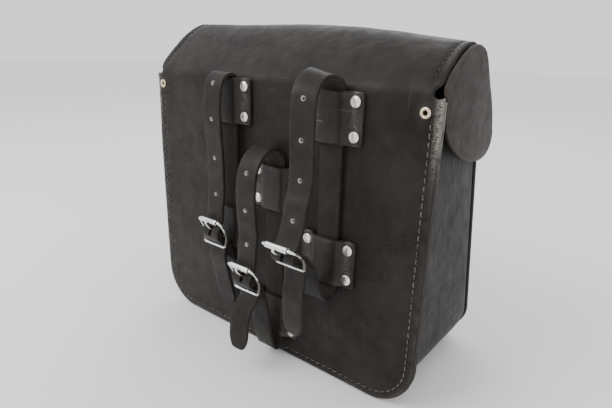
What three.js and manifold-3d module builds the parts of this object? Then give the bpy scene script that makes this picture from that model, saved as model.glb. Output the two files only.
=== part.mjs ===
// Leather motorcycle saddlebag, in millimetres, +Z up. The mounting back faces -Y and carries three
// strap loops; the closing flap hangs over the front, which faces +Y. X runs across the bag.
// Inside this file Y = 0 is the outer face of the back panel and Z = 0 is the bottom of the bag.

import * as THREE from 'three';
import { mergeVertices } from 'three/addons/utils/BufferGeometryUtils.js';
import Module from 'manifold-3d';

const wasm = await Module();
wasm.setup();

// ---------------------------------------------------------------- driving dimensions

const ORIGIN_Y = -36.4; // moves the middle of the depth onto the origin
const GAP = 0.3; // air between two pieces that touch

const BAG = {
  width: 300,
  cornerRadius: 40,
  foldZ: 248.5, // where the back panel turns into the lid
  leather: 4,
  facet: 40, // longest facet edge, so that whole facets of the flat back lie clear of the keepers
};

const GUSSET = {
  inset: 7.5, // outer face of the wall, from the back panel's edge
  leather: 3.5,
  top: 240,
  backFlangeInset: 0.8,
  frontFlangeInset: 19,
  flange: 3,
};

// The front panel leans back: its outer face is y = baseY - slope * z.
const FRONT = {
  inset: 7.2,
  top: 236,
  baseY: 138,
  slope: 0.21,
  leather: 4,
};

const LID = {
  halfWidth: 146,
  leather: 4,
  cornerZ: 230, // where the flap's sides start to round in
  drop: 105, // from there down to the flap's lowest point
  roundness: 2.5,
};

// Outer surface of the lid and flap, side view, [y, z], from the fold to the flap's lowest edge.
const LID_PROFILE = [
  [0, 248.5], [4, 253.8], [10.5, 260], [19, 267.2], [28.5, 274.4], [38, 280.4], [47.5, 285], [56, 288],
  [63, 288.6], [69, 286.6], [75, 281.2], [82, 270], [90, 254], [97.5, 239], [103, 226.5], [105.5, 216],
  [106.3, 204], [107.3, 191], [109, 178], [112.5, 160], [116, 142], [120, 122],
];

const EAR = {
  leather: 3,
  gapToLid: 0.3,
  belowLid: 3,
  tabWidth: 12,
};

// Free edge of the ear, side view, [y, z], from the front corner round to the back.
const EAR_EDGE = [
  [105, 211.5], [103.5, 205.5], [98, 199.2], [90, 195.2], [77, 193.6], [62, 195.2], [45, 199.5], [29, 207],
  [17.5, 216], [11.8, 225], [9.8, 234], [9.8, 241.5], [7, 246.5], [6.5, 251.5],
];

const SEAM = {
  backInset: 7.4,
  frontInset: 14.5,
  width: 0.9,
  height: 0.6,
};

const KEEPER = {
  width: 52,
  height: 39,
  leather: 2.7,
  tunnelHalf: 11,
  tunnelDepth: 4.7,
  shoulder: 2.6,
  rivetX: 19.7,
  rivetZ: 12.6,
};

const RIVET = {
  headRadius: 4.5,
  headHeight: 1.7,
  shankRadius: 1.25,
  holeRadius: 1.85,
};

// Plate inside the bag, or behind the flap, that the rivets are closed over.
const BACKING = {
  margin: 4,
  thickness: 1,
};

const SEAM_RIVET = {
  x: 138.6,
  z: 236,
  headRadius: 4,
  boreRadius: 1.6,
  tubeRadius: 2.3,
};

const STRAP = {
  width: 20,
  leather: 3,
  skived: 2.4, // thickness of the end that wraps the buckle's centre bar
  runY: -2.3, // middle of the run that lies on the back panel
  holeRadius: 2.2,
  tipLength: 14,
  tipHalf: 4,
};

// Buckle, in its own frame: v up the frame, n out of the bag, both from the level of the centre bar.
const BUCKLE = {
  rollerV: 15,
  barN: -4,
  lowerV: -10,
  armInner: 12.6,
  armOuter: 15.2,
  wire: 1.4,
  rollerRadius: 2.35,
  rollerBore: 1.75,
  rollerLength: 20,
  prongHalf: 1.2,
  prongEye: 3.7,
  rivetV: -20,
  rivetTop: 5.8, // depth of the end rivet's head
  rivetGrip: 5.7,
  rivetHead: 3.6,
};

// The three mounting straps, left to right as seen from the mounting side.
const MOUNTING_STRAPS = [
  {
    name: 'left', x: -44, upperKeeperZ: 228.6, lowerKeeperZ: 113,
    buckle: { y: -26.2, z: 109.7, tilt: 13, slack: 3.6 },
    tail: [[-17, 72], [-13.5, 55], [-10, 41], [-8.5, 34]],
    run: [[-19.4, 146], [-18.8, 158], [-19, 172], [-19.8, 190], [-21, 205], [-21.6, 219], [-21.2, 231]],
    top: [[-19.4, 241], [-16.2, 247], [-11.6, 250.3], [-6.8, 250.8], [-3.3, 249.4]],
    backTop: 245.5, backBottom: 91,
    bottom: [[-3, 85], [-7, 82], [-10, 84.6]],
    holes: [241, 214, 180, 147],
  },
  {
    name: 'centre', x: 11, upperKeeperZ: 160.3, lowerKeeperZ: 41,
    buckle: { y: -41.5, z: 87.4, tilt: 17, slack: 4.5 },
    tail: [[-37.5, 54], [-41, 38], [-44.5, 23]],
    run: [[-35.2, 126], [-36.8, 142], [-37.8, 157], [-37, 171], [-34, 183]],
    top: [[-27.5, 191.5], [-18, 196.4], [-9.5, 194.5], [-4, 188]],
    backTop: 181, backBottom: 17,
    bottom: [[-3.6, 12], [-8.5, 9.6], [-13, 13], [-16.5, 22], [-19.3, 36], [-21.8, 53]],
    holes: [179, 149, 119],
  },
  {
    name: 'right', x: 67, upperKeeperZ: 226, lowerKeeperZ: 112,
    buckle: { y: -54.6, z: 129.6, tilt: 38, slack: 16 },
    tail: [[-46.5, 96], [-46, 82], [-44.5, 63]],
    run: [[-44, 176], [-41.2, 188], [-39.4, 200], [-38, 212], [-36.6, 224], [-35, 235]],
    top: [[-32.5, 245], [-27, 252.5], [-19, 257], [-11, 256.8], [-5, 252.6]],
    backTop: 247, backBottom: 90,
    bottom: [[-3.6, 84.5], [-8, 81.6], [-14, 82.5], [-19.5, 87.5], [-23.8, 95.5], [-27.2, 105]],
    holes: [241, 213, 185, 157],
  },
];

// The two closing straps on the flap.
const CLOSURE = {
  x: 75,
  width: 22,
  anchorTop: 204,
  bendZ: 150,
  rivetsZ: [196, 164],
  buckleZ: 95,
  standOff: 14, // buckle's level above the front panel
  tail: [[-30, -1.2], [-38, -1.2]],
  studV: -38,
  tabN: -9.4, // middle of the tab at the press stud
};

const STUD = {
  baseRadius: 6,
  postRadius: 2.8,
  postHeight: 2,
  socketInner: 3.9,
  socketOuter: 6,
  socketHeight: 1.9,
  neckRadius: 2,
  capRadius: 6.6,
  capHeight: 1.6,
};

const COLOURS = {
  leather: 0x2b2523,
  leatherEdge: 0x241d1b,
  ear: 0x33221f,
  thread: 0x7d766f,
  nickel: 0xd4d4d6,
  brass: 0xb59a5c,
};

// ---------------------------------------------------------------- solids

// three.js geometry to manifold solid, with its shared corners merged.
function solid(geometry) {
  const bare = geometry.clone();
  bare.deleteAttribute('normal');
  bare.deleteAttribute('uv');
  const merged = mergeVertices(bare, 1e-4);
  const mesh = new wasm.Mesh({
    numProp: 3,
    vertProperties: new Float32Array(merged.attributes.position.array),
    triVerts: new Uint32Array(merged.index.array),
  });
  return new wasm.Manifold(mesh);
}

function geometryOf(manifold) {
  const mesh = manifold.getMesh();
  const geometry = new THREE.BufferGeometry();
  geometry.setAttribute('position', new THREE.BufferAttribute(mesh.vertProperties, 3));
  geometry.setIndex(new THREE.BufferAttribute(mesh.triVerts, 1));
  return geometry;
}

function join(...geometries) {
  return geometryOf(geometries.map(solid).reduce((a, b) => a.add(b)));
}

function cut(geometry, ...cutters) {
  return geometryOf(cutters.map(solid).reduce((a, b) => a.subtract(b), solid(geometry)));
}

function common(a, b) {
  return geometryOf(solid(a).intersect(solid(b)));
}

// Extrudes an outline of [y, z] points from x0 to x1.
function splitLong(geometry, length) {
  return geometryOf(solid(geometry).refineToLength(length));
}

function extrudeX(outline, x0, x1) {
  const shape = new THREE.Shape(outline.map(([y, z]) => new THREE.Vector2(y, z)));
  const geometry = new THREE.ExtrudeGeometry(shape, { depth: x1 - x0, bevelEnabled: false });
  const toWorld = new THREE.Matrix4().makeBasis(
    new THREE.Vector3(0, 1, 0), new THREE.Vector3(0, 0, 1), new THREE.Vector3(1, 0, 0));
  return geometry.applyMatrix4(toWorld).translate(x0, 0, 0);
}

// Extrudes a shape drawn in x and z from y0 to y1.
function extrudeY(shape, y0, y1, curveSegments = 7) {
  const options = { depth: y1 - y0, bevelEnabled: false, curveSegments };
  const toWorld = new THREE.Matrix4().makeBasis(
    new THREE.Vector3(1, 0, 0), new THREE.Vector3(0, 0, 1), new THREE.Vector3(0, -1, 0));
  return new THREE.ExtrudeGeometry(shape, options).applyMatrix4(toWorld).translate(0, y1, 0);
}

function cylinderX(radius, length, sides) {
  return new THREE.CylinderGeometry(radius, radius, length, sides).rotateZ(Math.PI / 2);
}

function cylinderY(radius, y0, y1, x, z, sides = 6) {
  return new THREE.CylinderGeometry(radius, radius, y1 - y0, sides).translate(x, (y0 + y1) / 2, z);
}

// Moves a side-view polyline sideways; positive distances go to the left of its direction.
function offsetLine(points, distance) {
  return points.map(([y, z], i) => {
    const before = points[Math.max(i - 1, 0)];
    const after = points[Math.min(i + 1, points.length - 1)];
    const run = new THREE.Vector2(after[0] - before[0], after[1] - before[1]).normalize();
    const amount = typeof distance === 'number' ? distance : distance[i];
    return [y - run.y * amount, z + run.x * amount];
  });
}

// A smooth strip in side view through [y, z, thickness] points, as a closed outline.
function stripOutline(points, perSpan = 2) {
  const curve = new THREE.CatmullRomCurve3(points.map((p) => new THREE.Vector3(...p)), false, 'centripetal');
  const line = curve.getPoints((points.length - 1) * perSpan);
  const middle = line.map((p) => [p.x, p.y]);
  const half = line.map((p) => p.z / 2);
  const left = offsetLine(middle, half);
  const right = offsetLine(middle, half.map((h) => -h));
  return [...right, ...left.reverse()];
}

// ---------------------------------------------------------------- bag body

// Outline of a panel: straight sides and two rounded bottom corners.
function panelShape(inset, top) {
  const half = BAG.width / 2 - inset;
  const radius = BAG.cornerRadius - inset;
  const shape = new THREE.Shape();
  shape.moveTo(half, top);
  shape.lineTo(-half, top);
  shape.lineTo(-half, inset + radius);
  shape.absarc(-half + radius, inset + radius, radius, Math.PI, 1.5 * Math.PI, false);
  shape.absarc(half - radius, inset + radius, radius, 1.5 * Math.PI, 2 * Math.PI, false);
  shape.closePath();
  return shape;
}

// A strip that follows the panel's sides and bottom between two insets, open at the top.
function bandShape(outer, inner, top) {
  const half = BAG.width / 2;
  const centre = half - BAG.cornerRadius;
  const shape = new THREE.Shape();
  shape.moveTo(-half + outer, top);
  shape.absarc(-centre, BAG.cornerRadius, BAG.cornerRadius - outer, Math.PI, 1.5 * Math.PI, false);
  shape.absarc(centre, BAG.cornerRadius, BAG.cornerRadius - outer, 1.5 * Math.PI, 2 * Math.PI, false);
  shape.lineTo(half - outer, top);
  shape.lineTo(half - inner, top);
  shape.absarc(centre, BAG.cornerRadius, BAG.cornerRadius - inner, 2 * Math.PI, 1.5 * Math.PI, true);
  shape.absarc(-centre, BAG.cornerRadius, BAG.cornerRadius - inner, 1.5 * Math.PI, Math.PI, true);
  shape.lineTo(-half + inner, top);
  shape.closePath();
  return shape;
}

// A slab parallel to the front panel, from its outer face shifted inward by `depth`.
function frontSlab(depth, thickness) {
  return new THREE.BoxGeometry(400, thickness, 700)
    .translate(0, -depth - thickness / 2, 0)
    .rotateX(Math.atan(FRONT.slope))
    .translate(0, FRONT.baseY, 0);
}

function keeperRivetPoints(strap, centreZ) {
  const points = [];
  for (const x of [-KEEPER.rivetX, KEEPER.rivetX]) {
    for (const z of [-KEEPER.rivetZ, KEEPER.rivetZ]) {
      points.push([strap.x + x, centreZ + z]);
    }
  }
  return points;
}

function allKeeperRivetPoints() {
  return MOUNTING_STRAPS.flatMap((strap) => [
    ...keeperRivetPoints(strap, strap.upperKeeperZ),
    ...keeperRivetPoints(strap, strap.lowerKeeperZ),
  ]);
}

function backPanel() {
  const sheet = extrudeY(panelShape(0, BAG.foldZ - GAP / 2), 0, BAG.leather);
  const holes = allKeeperRivetPoints().map(([x, z]) => cylinderY(RIVET.holeRadius, -5, 10, x, z));
  const seamHoles = [-1, 1].map((side) =>
    cylinderY(SEAM_RIVET.tubeRadius + 0.8, -5, 10, side * SEAM_RIVET.x, SEAM_RIVET.z));
  return splitLong(cut(sheet, ...holes, ...seamHoles), BAG.facet);
}

function gusset() {
  const back = BAG.leather + GAP;
  const insideFront = FRONT.leather + GAP;
  const wallInner = GUSSET.inset + GUSSET.leather;
  const backFlange = extrudeY(
    bandShape(GUSSET.backFlangeInset, wallInner, GUSSET.top), back, back + GUSSET.flange);
  const longWall = extrudeY(bandShape(GUSSET.inset, wallInner, GUSSET.top), back, 200);
  const wall = cut(longWall, frontSlab(-200, 200 + insideFront));
  const frontBand = extrudeY(bandShape(GUSSET.inset, GUSSET.frontFlangeInset, GUSSET.top - 8), 40, 200);
  const frontFlange = common(frontBand, frontSlab(insideFront, GUSSET.flange));
  const rivetPockets = [-1, 1].map((side) =>
    cylinderY(SEAM_RIVET.headRadius + 0.5, back - 1, back + GUSSET.flange + 2,
      side * SEAM_RIVET.x, SEAM_RIVET.z, 12));
  return cut(join(backFlange, wall, frontFlange), ...rivetPockets);
}

function frontPanel() {
  const block = extrudeY(panelShape(FRONT.inset, FRONT.top), 40, 200);
  return common(block, frontSlab(0, FRONT.leather));
}

function backSeam() {
  const band = bandShape(SEAM.backInset, SEAM.backInset + SEAM.width, SEAM_RIVET.z - 6);
  return extrudeY(band, -GAP - SEAM.height, -GAP);
}

function frontSeam() {
  const band = bandShape(SEAM.frontInset, SEAM.frontInset + SEAM.width, FRONT.top - 6);
  return common(extrudeY(band, 40, 200), frontSlab(-GAP - SEAM.height, SEAM.height));
}

// ---------------------------------------------------------------- fasteners

// Turns [radius, out] points about the y axis; `out` runs towards -y.
function turned(profile, sides = 12) {
  const points = profile.map(([r, out]) => new THREE.Vector2(r, out));
  return new THREE.LatheGeometry(points, sides).rotateX(Math.PI);
}

// A rivet with its domed head at y = 0 facing -y and its shank reaching `grip` behind it.
function rivet(grip, head = RIVET.headRadius) {
  const { headHeight, shankRadius } = RIVET;
  return turned([
    [0, -grip], [shankRadius, -grip], [shankRadius, 0], [head, 0], [head * 0.7, headHeight * 0.8],
    [0, headHeight],
  ], 7);
}

// A tubular rivet: a rolled head with an open bore.
function tubularRivet(grip) {
  const { headRadius, boreRadius, tubeRadius } = SEAM_RIVET;
  const tail = headRadius - 0.4;
  return turned([
    [boreRadius, -grip - 0.8], [tail, -grip - 0.8], [tail, -grip], [tubeRadius, -grip], [tubeRadius, 0],
    [headRadius, 0], [headRadius - 0.6, 1], [boreRadius + 0.7, 1.2], [boreRadius, 0.5],
    [boreRadius, -grip - 0.8],
  ], 10);
}

// The four rivets of one keeper, standing on the plate that backs them inside the bag.
function keeperRivetSet(strap, centreZ) {
  const face = -2 * GAP - KEEPER.leather;
  const inside = BAG.leather + GAP;
  const { rivetX, rivetZ } = KEEPER;
  const { margin, thickness } = BACKING;
  const plate = new THREE.BoxGeometry(2 * (rivetX + margin), thickness, 2 * (rivetZ + margin))
    .translate(strap.x, inside + thickness / 2, centreZ);
  const rivets = keeperRivetPoints(strap, centreZ).map(([x, z]) =>
    rivet(inside - face + thickness / 2).translate(x, face, z));
  return join(plate, ...rivets);
}

function seamRivet(side) {
  return tubularRivet(BAG.leather + 2 * GAP).translate(side * SEAM_RIVET.x, -GAP, SEAM_RIVET.z);
}

// ---------------------------------------------------------------- lid

// Flap outline seen from the front, as the region to cut away below the lid's side corners.
function flapTrim() {
  const shape = new THREE.Shape();
  shape.moveTo(-200, LID.cornerZ);
  shape.lineTo(-200, 0);
  shape.lineTo(200, 0);
  shape.lineTo(200, LID.cornerZ);
  const steps = 20;
  for (let i = 0; i <= steps; i += 1) {
    const angle = (Math.PI * i) / steps;
    const power = 2 / LID.roundness;
    const x = LID.halfWidth * Math.sign(Math.cos(angle)) * Math.abs(Math.cos(angle)) ** power;
    shape.lineTo(x, LID.cornerZ - LID.drop * Math.sin(angle) ** power);
  }
  shape.closePath();
  return extrudeY(shape, 80, 200);
}

function closureAnchorLine() {
  return linePoints(offsetLine(LID_PROFILE, GAP + STRAP.leather / 2), CLOSURE.anchorTop, CLOSURE.bendZ + GAP / 2);
}

// Points of a falling side-view line between two heights, ends interpolated.
function linePoints(line, top, bottom) {
  const at = (z) => {
    const i = line.findIndex((p, k) => k > 8 && p[1] <= z);
    const [a, b] = [line[i - 1], line[i]];
    const t = (a[1] - z) / (a[1] - b[1]);
    return [a[0] + t * (b[0] - a[0]), z];
  };
  const inside = line.filter((p, k) => k > 8 && p[1] < top && p[1] > bottom);
  return [at(top), ...inside, at(bottom)];
}

function lidFlap() {
  const inner = offsetLine(LID_PROFILE, -LID.leather);
  inner[0] = [LID.leather, BAG.foldZ + GAP / 2];
  const outer = LID_PROFILE.map((p, i) => (i === 0 ? [0, BAG.foldZ + GAP / 2] : p));
  const sheet = extrudeX([...inner, ...outer.reverse()], -LID.halfWidth, LID.halfWidth);
  return cut(sheet, flapTrim(), ...closureRivetHoles(-1), ...closureRivetHoles(1));
}

// An ear: an oval tongue that hangs beside the lid from a tab sewn under the lid's edge.
function ear(side) {
  const hang = offsetLine(LID_PROFILE, -EAR.belowLid).filter(([y, z]) => y > 9.5 && z > 214);
  const x0 = LID.halfWidth + EAR.gapToLid;
  const plate = extrudeX([...EAR_EDGE, ...hang].reverse(), x0, x0 + EAR.leather);
  const line = LID_PROFILE.slice(2, 8);
  const under = offsetLine(line, -LID.leather - GAP);
  const lower = offsetLine(line, -LID.leather - GAP - EAR.leather + 0.6);
  const tab = extrudeX([...lower, ...under.reverse()], x0 - EAR.tabWidth, x0 + 0.1);
  const geometry = join(plate, tab);
  return side > 0 ? geometry : mirrorX(geometry);
}

function mirrorX(geometry) {
  const flipped = geometry.clone().scale(-1, 1, 1);
  const index = flipped.index.array;
  for (let i = 0; i < index.length; i += 3) {
    [index[i], index[i + 1]] = [index[i + 1], index[i]];
  }
  return flipped;
}

function earSeam(side) {
  const line = LID_PROFILE.slice(2, 8);
  const low = offsetLine(line, GAP);
  const high = offsetLine(line, GAP + SEAM.height);
  const x = side * (LID.halfWidth - 8);
  return extrudeX([...low, ...high.reverse()], x - SEAM.width / 2, x + SEAM.width / 2);
}

// ---------------------------------------------------------------- straps and keepers

function keeper(strap, centreZ) {
  const { width, height, leather, tunnelHalf, tunnelDepth, shoulder } = KEEPER;
  const inside = [
    [tunnelHalf + shoulder * 0.6, -GAP], [tunnelHalf, -tunnelDepth],
    [-tunnelHalf, -tunnelDepth], [-tunnelHalf - shoulder * 0.6, -GAP],
  ];
  const outside = [
    [-width / 2, -GAP], [-width / 2, -GAP - leather], [-tunnelHalf - shoulder - 1, -GAP - leather],
    [-tunnelHalf - 0.8, -tunnelDepth - leather], [tunnelHalf + 0.8, -tunnelDepth - leather],
    [tunnelHalf + shoulder + 1, -GAP - leather], [width / 2, -GAP - leather], [width / 2, -GAP],
  ];
  const section = new THREE.Shape([...outside, ...inside].map(([x, y]) => new THREE.Vector2(x, y)));
  const plate = new THREE.ExtrudeGeometry(section, { depth: height, bevelEnabled: false })
    .translate(strap.x, 0, centreZ - height / 2);
  const holes = keeperRivetPoints(strap, centreZ).map(([x, z]) => cylinderY(RIVET.holeRadius, -12, 6, x, z));
  return cut(plate, ...holes);
}

// Side-view point of a buckle's (v, n) coordinates; `out` is -1 on the back and +1 on the front.
function bucklePoint(buckle, v, n, out) {
  const angle = THREE.MathUtils.degToRad(buckle.tilt);
  const y = buckle.y + out * (v * Math.sin(angle) + n * Math.cos(angle));
  const z = buckle.z + v * Math.cos(angle) - n * Math.sin(angle);
  return [y, z];
}

function threadedRun(buckle, out) {
  const { slack } = buckle;
  const { leather } = STRAP;
  const local = [
    [24, -4.8 - slack * 1.6], [15, -4.3 - slack], [9, -1.9 - slack * 0.6], [3.5, 1.2], [0, 1.95],
    [-4, 0.5], [-10, -3.8], [-16, -3.5 + slack * 0.12], [-22, -2.1 + slack * 0.35],
  ];
  return local.map(([v, n]) => [...bucklePoint(buckle, v, n, out), leather]);
}

// The skived end: up behind the centre bar, round it and back down outside.
function wrappedEnd(buckle, out) {
  const radius = -BUCKLE.barN - 1.1;
  const around = [-90, -60, -30, 0, 30, 60, 90, 120].map((degrees) => {
    const angle = THREE.MathUtils.degToRad(degrees);
    return [radius * Math.cos(angle), BUCKLE.barN + radius * Math.sin(angle)];
  });
  const local = [
    [-24, -10.2], [-16, -9.9], [-10, -9.5], [-5, -8], ...around,
    [-4.6, -4], [-8, -6.1], [-11, -6.9], [-16, -7.15], [-25, -7.4],
  ];
  return local.map(([v, n]) => [...bucklePoint(buckle, v, n, out), STRAP.skived]);
}

// Cutter for the slot around the prong's eye and the room that the prong sweeps while it lifts.
function prongRoom(buckle, x, out) {
  const slot = [[-1.5, -0.15], [-4.4, -2.2], [-4.4, -8.8], [4.4, -8.8], [4.4, -2.6]];
  const sweep = [[13, 1.9], [9, 7], [6.3, 4.3], [0.6, -0.3]];
  const outline = [...slot, ...sweep].map(([v, n]) => bucklePoint(buckle, v, n, out));
  return extrudeX(outline, x - BUCKLE.prongHalf - 0.6, x + BUCKLE.prongHalf + 0.6);
}

// Clears the way of the end rivet, which runs along n through both layers of the wrapped end.
function endRivetHole(buckle, x, out) {
  const [y, z] = bucklePoint(buckle, BUCKLE.rivetV, -8.6, out);
  const turn = THREE.MathUtils.degToRad(buckle.tilt) * -out;
  return cylinderY(RIVET.holeRadius, -4, 4, 0, 0).rotateX(turn).translate(x, y, z);
}

// Cutters that narrow a strap's free end to a blunt point.
function tipTrim(x, z, y0, y1) {
  const { width, tipLength, tipHalf } = STRAP;
  return [-1, 1].map((side) => {
    const shape = new THREE.Shape();
    shape.moveTo(x + side * tipHalf, z - 1);
    shape.lineTo(x + side * (width / 2 + 1), z + tipLength);
    shape.lineTo(x + side * (width / 2 + 1), z - 1);
    shape.closePath();
    return extrudeY(shape, y0, y1);
  });
}

function mountingStrap(strap) {
  const { leather, runY, width, holeRadius } = STRAP;
  const thick = (points) => points.map(([y, z]) => [y, z, leather]);
  const heights = [0, 0.02, 0.98, 1].map((t) => THREE.MathUtils.lerp(strap.backTop, strap.backBottom, t));
  const path = [
    ...thick([...strap.tail].reverse()), ...threadedRun(strap.buckle, -1).reverse(), ...thick(strap.run),
    ...thick(strap.top), ...heights.map((z) => [runY, z, leather]), ...thick(strap.bottom),
    ...wrappedEnd(strap.buckle, -1),
  ];
  const band = extrudeX(stripOutline(path), strap.x - width / 2, strap.x + width / 2);
  const holes = strap.holes.map((z) => cylinderY(holeRadius, -70, -9, strap.x, z));
  const [tipY, tipZ] = strap.tail.at(-1);
  return cut(band, ...holes, ...tipTrim(strap.x, tipZ, tipY - 8, tipY + 5),
    prongRoom(strap.buckle, strap.x, -1), endRivetHole(strap.buckle, strap.x, -1));
}

// ---------------------------------------------------------------- buckles (x across, -y out, z up)

function flatBar(points, x0, x1) {
  const outline = stripOutline(points.map(([v, n]) => [-n, v, 2 * BUCKLE.wire]), 1);
  return extrudeX(outline, x0, x1);
}

function buckleFrame() {
  const { rollerV, lowerV, barN, wire, armInner, armOuter } = BUCKLE;
  const arms = [[-armOuter, -armInner], [armInner, armOuter]].map(([x0, x1]) =>
    flatBar([[rollerV + 1, 0.4], [rollerV / 2, -2.6], [0, barN], [lowerV / 2, -2.6], [lowerV - 1, 0.4]], x0, x1));
  const span = 2 * armInner + 2;
  const bars = [[rollerV, 0], [0, barN], [lowerV, 0]].map(([v, n]) =>
    cylinderX(wire, span, 8).translate(0, -n, v));
  return join(...arms, ...bars);
}

function roller() {
  const { rollerBore, rollerRadius, rollerLength, rollerV } = BUCKLE;
  const half = rollerLength / 2;
  const profile = [
    [rollerBore, -half], [rollerRadius, -half], [rollerRadius, half], [rollerBore, half], [rollerBore, -half],
  ];
  const points = profile.map(([r, y]) => new THREE.Vector2(r, y));
  return new THREE.LatheGeometry(points, 12).rotateZ(-Math.PI / 2).translate(0, 0, rollerV);
}

function prong() {
  const { barN, prongEye, prongHalf, wire, rollerV } = BUCKLE;
  const ring = new THREE.Shape();
  ring.absarc(-barN, 0, prongEye, 0, 2 * Math.PI, false);
  const bore = new THREE.Path();
  bore.absarc(-barN, 0, wire + 0.35, 0, 2 * Math.PI, true);
  ring.holes.push(bore);
  const toWorld = new THREE.Matrix4().makeBasis(
    new THREE.Vector3(0, 1, 0), new THREE.Vector3(0, 0, 1), new THREE.Vector3(1, 0, 0));
  const eye = new THREE.ExtrudeGeometry(ring, { depth: 2 * prongHalf, bevelEnabled: false, curveSegments: 5 })
    .applyMatrix4(toWorld).translate(-prongHalf, 0, 0);
  const line = [[2.1, -2.2], [8, 1.2], [rollerV - 1.5, 3.75], [rollerV + 2.2, 3.3]];
  const stem = extrudeX(stripOutline(line.map(([v, n]) => [-n, v, 2]), 2), -prongHalf, prongHalf);
  return join(eye, stem);
}

function placeOnBuckle(mesh, buckle, x, out) {
  mesh.rotation.order = 'ZXY';
  const tilt = THREE.MathUtils.degToRad(buckle.tilt);
  mesh.rotation.set(tilt, 0, out > 0 ? Math.PI : 0);
  mesh.position.set(x, buckle.y, buckle.z);
  return mesh;
}

// The rivet that closes a strap's wrapped end, through both of its layers.
function endRivet() {
  const { rivetV, rivetTop, rivetGrip, rivetHead } = BUCKLE;
  const body = turned([
    [0, -rivetGrip - 0.8], [rivetHead - 0.6, -rivetGrip - 0.8], [rivetHead - 0.6, -rivetGrip],
    [RIVET.shankRadius, -rivetGrip], [RIVET.shankRadius, 0], [rivetHead, 0], [rivetHead * 0.7, 1], [0, 1.3],
  ], 7);
  return body.translate(0, rivetTop, rivetV);
}

// ---------------------------------------------------------------- front closing straps

function closureBuckle() {
  const lean = Math.atan(FRONT.slope);
  const panelY = FRONT.baseY - FRONT.slope * CLOSURE.buckleZ;
  return {
    y: panelY + CLOSURE.standOff * Math.cos(lean),
    z: CLOSURE.buckleZ + CLOSURE.standOff * Math.sin(lean),
    tilt: -THREE.MathUtils.radToDeg(lean),
    slack: 0,
  };
}

function closureAnchor(side) {
  const line = closureAnchorLine().map(([y, z]) => [y, z, STRAP.leather]);
  const x = side * CLOSURE.x;
  const band = extrudeX(stripOutline(line, 1), x - CLOSURE.width / 2, x + CLOSURE.width / 2);
  return cut(band, ...closureRivetHoles(side));
}

function closureRivetHoles(side) {
  return closureRivetPlaces(side).map(({ x, y, z, angle }) =>
    cylinderY(RIVET.holeRadius, -8, 8, 0, 0).rotateX(angle).translate(x, y, z));
}

function closureRivetPlaces(side) {
  return CLOSURE.rivetsZ.map((z) => {
    const around = linePoints(LID_PROFILE, z + 4, z - 4);
    const [[y0, z0], [y1, z1]] = [around[0], around.at(-1)];
    return { x: side * CLOSURE.x, y: (y0 + y1) / 2, z, angle: Math.atan2(y1 - y0, z0 - z1) };
  });
}

// The two rivets of one closing strap, standing on the strip that backs them inside the flap.
function closureRivetSet(side) {
  const line = offsetLine(LID_PROFILE, -LID.leather - GAP - BACKING.thickness / 2);
  const [top, bottom] = [CLOSURE.rivetsZ[0] + BACKING.margin, CLOSURE.rivetsZ[1] - BACKING.margin];
  const outline = stripOutline(linePoints(line, top, bottom).map(([y, z]) => [y, z, BACKING.thickness]), 1);
  const strip = extrudeX(outline, side * CLOSURE.x - BACKING.margin, side * CLOSURE.x + BACKING.margin);
  const face = STRAP.leather + 2 * GAP;
  const rivets = closureRivetPlaces(side).map(({ x, y, z, angle }) =>
    rivet(face + LID.leather + GAP + BACKING.thickness / 2)
      .rotateX(Math.PI).translate(0, face, 0).rotateX(angle).translate(x, y, z));
  return join(strip, ...rivets);
}

function closureStrap(side) {
  const buckle = closureBuckle();
  const [y0] = closureAnchorLine().at(-1);
  const start = [y0, CLOSURE.bendZ - GAP / 2, STRAP.leather];
  const tail = CLOSURE.tail.map(([v, n]) => [...bucklePoint(buckle, v, n, 1), STRAP.leather]);
  const path = [start, [y0 + 3.9, 134, STRAP.leather], ...threadedRun(buckle, 1), ...tail];
  const x = side * CLOSURE.x;
  const band = extrudeX(stripOutline(path), x - STRAP.width / 2, x + STRAP.width / 2);
  return cut(band, prongRoom(buckle, x, 1));
}

function closureTab(side) {
  const buckle = closureBuckle();
  const low = [[-47, CLOSURE.tabN], [-31, CLOSURE.tabN], [-28, CLOSURE.tabN - 0.3]].map(([v, n]) =>
    [...bucklePoint(buckle, v, n, 1), STRAP.skived]);
  const x = side * CLOSURE.x;
  const path = [...low, ...wrappedEnd(buckle, 1)];
  const band = extrudeX(stripOutline(path), x - STRAP.width / 2, x + STRAP.width / 2);
  const [y, z] = bucklePoint(buckle, CLOSURE.studV, CLOSURE.tabN, 1);
  const lean = THREE.MathUtils.degToRad(-buckle.tilt);
  const capHole = cylinderY(2.4, -3.5, 3.5, 0, 0).rotateX(lean).translate(x, y, z);
  return cut(band, prongRoom(buckle, x, 1), endRivetHole(buckle, x, 1), capHole);
}

// The press stud's cap and spring socket, clamped on the tab.
function studSocket() {
  const inside = CLOSURE.tabN - STRAP.skived / 2 - GAP;
  const outside = CLOSURE.tabN + STRAP.skived / 2 + GAP;
  const mouth = inside - STUD.socketHeight;
  return turned([
    [0, inside - 0.4], [STUD.socketInner, inside - 0.4], [STUD.socketInner, mouth], [STUD.socketOuter, mouth],
    [STUD.socketOuter, inside], [STUD.neckRadius, inside], [STUD.neckRadius, outside],
    [STUD.capRadius, outside], [STUD.capRadius * 0.9, outside + 0.9], [0, outside + STUD.capHeight],
  ]).translate(0, 0, CLOSURE.studV);
}

// The press stud itself, fixed to the front panel.
function stud() {
  const base = -CLOSURE.standOff + GAP;
  return turned([
    [0, base], [STUD.baseRadius, base], [STUD.baseRadius, base + 0.4], [STUD.postRadius, base + 0.6],
    [STUD.postRadius, base + STUD.postHeight - 0.2], [0, base + STUD.postHeight],
  ]).translate(0, 0, CLOSURE.studV);
}

// ---------------------------------------------------------------- assembly

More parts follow.
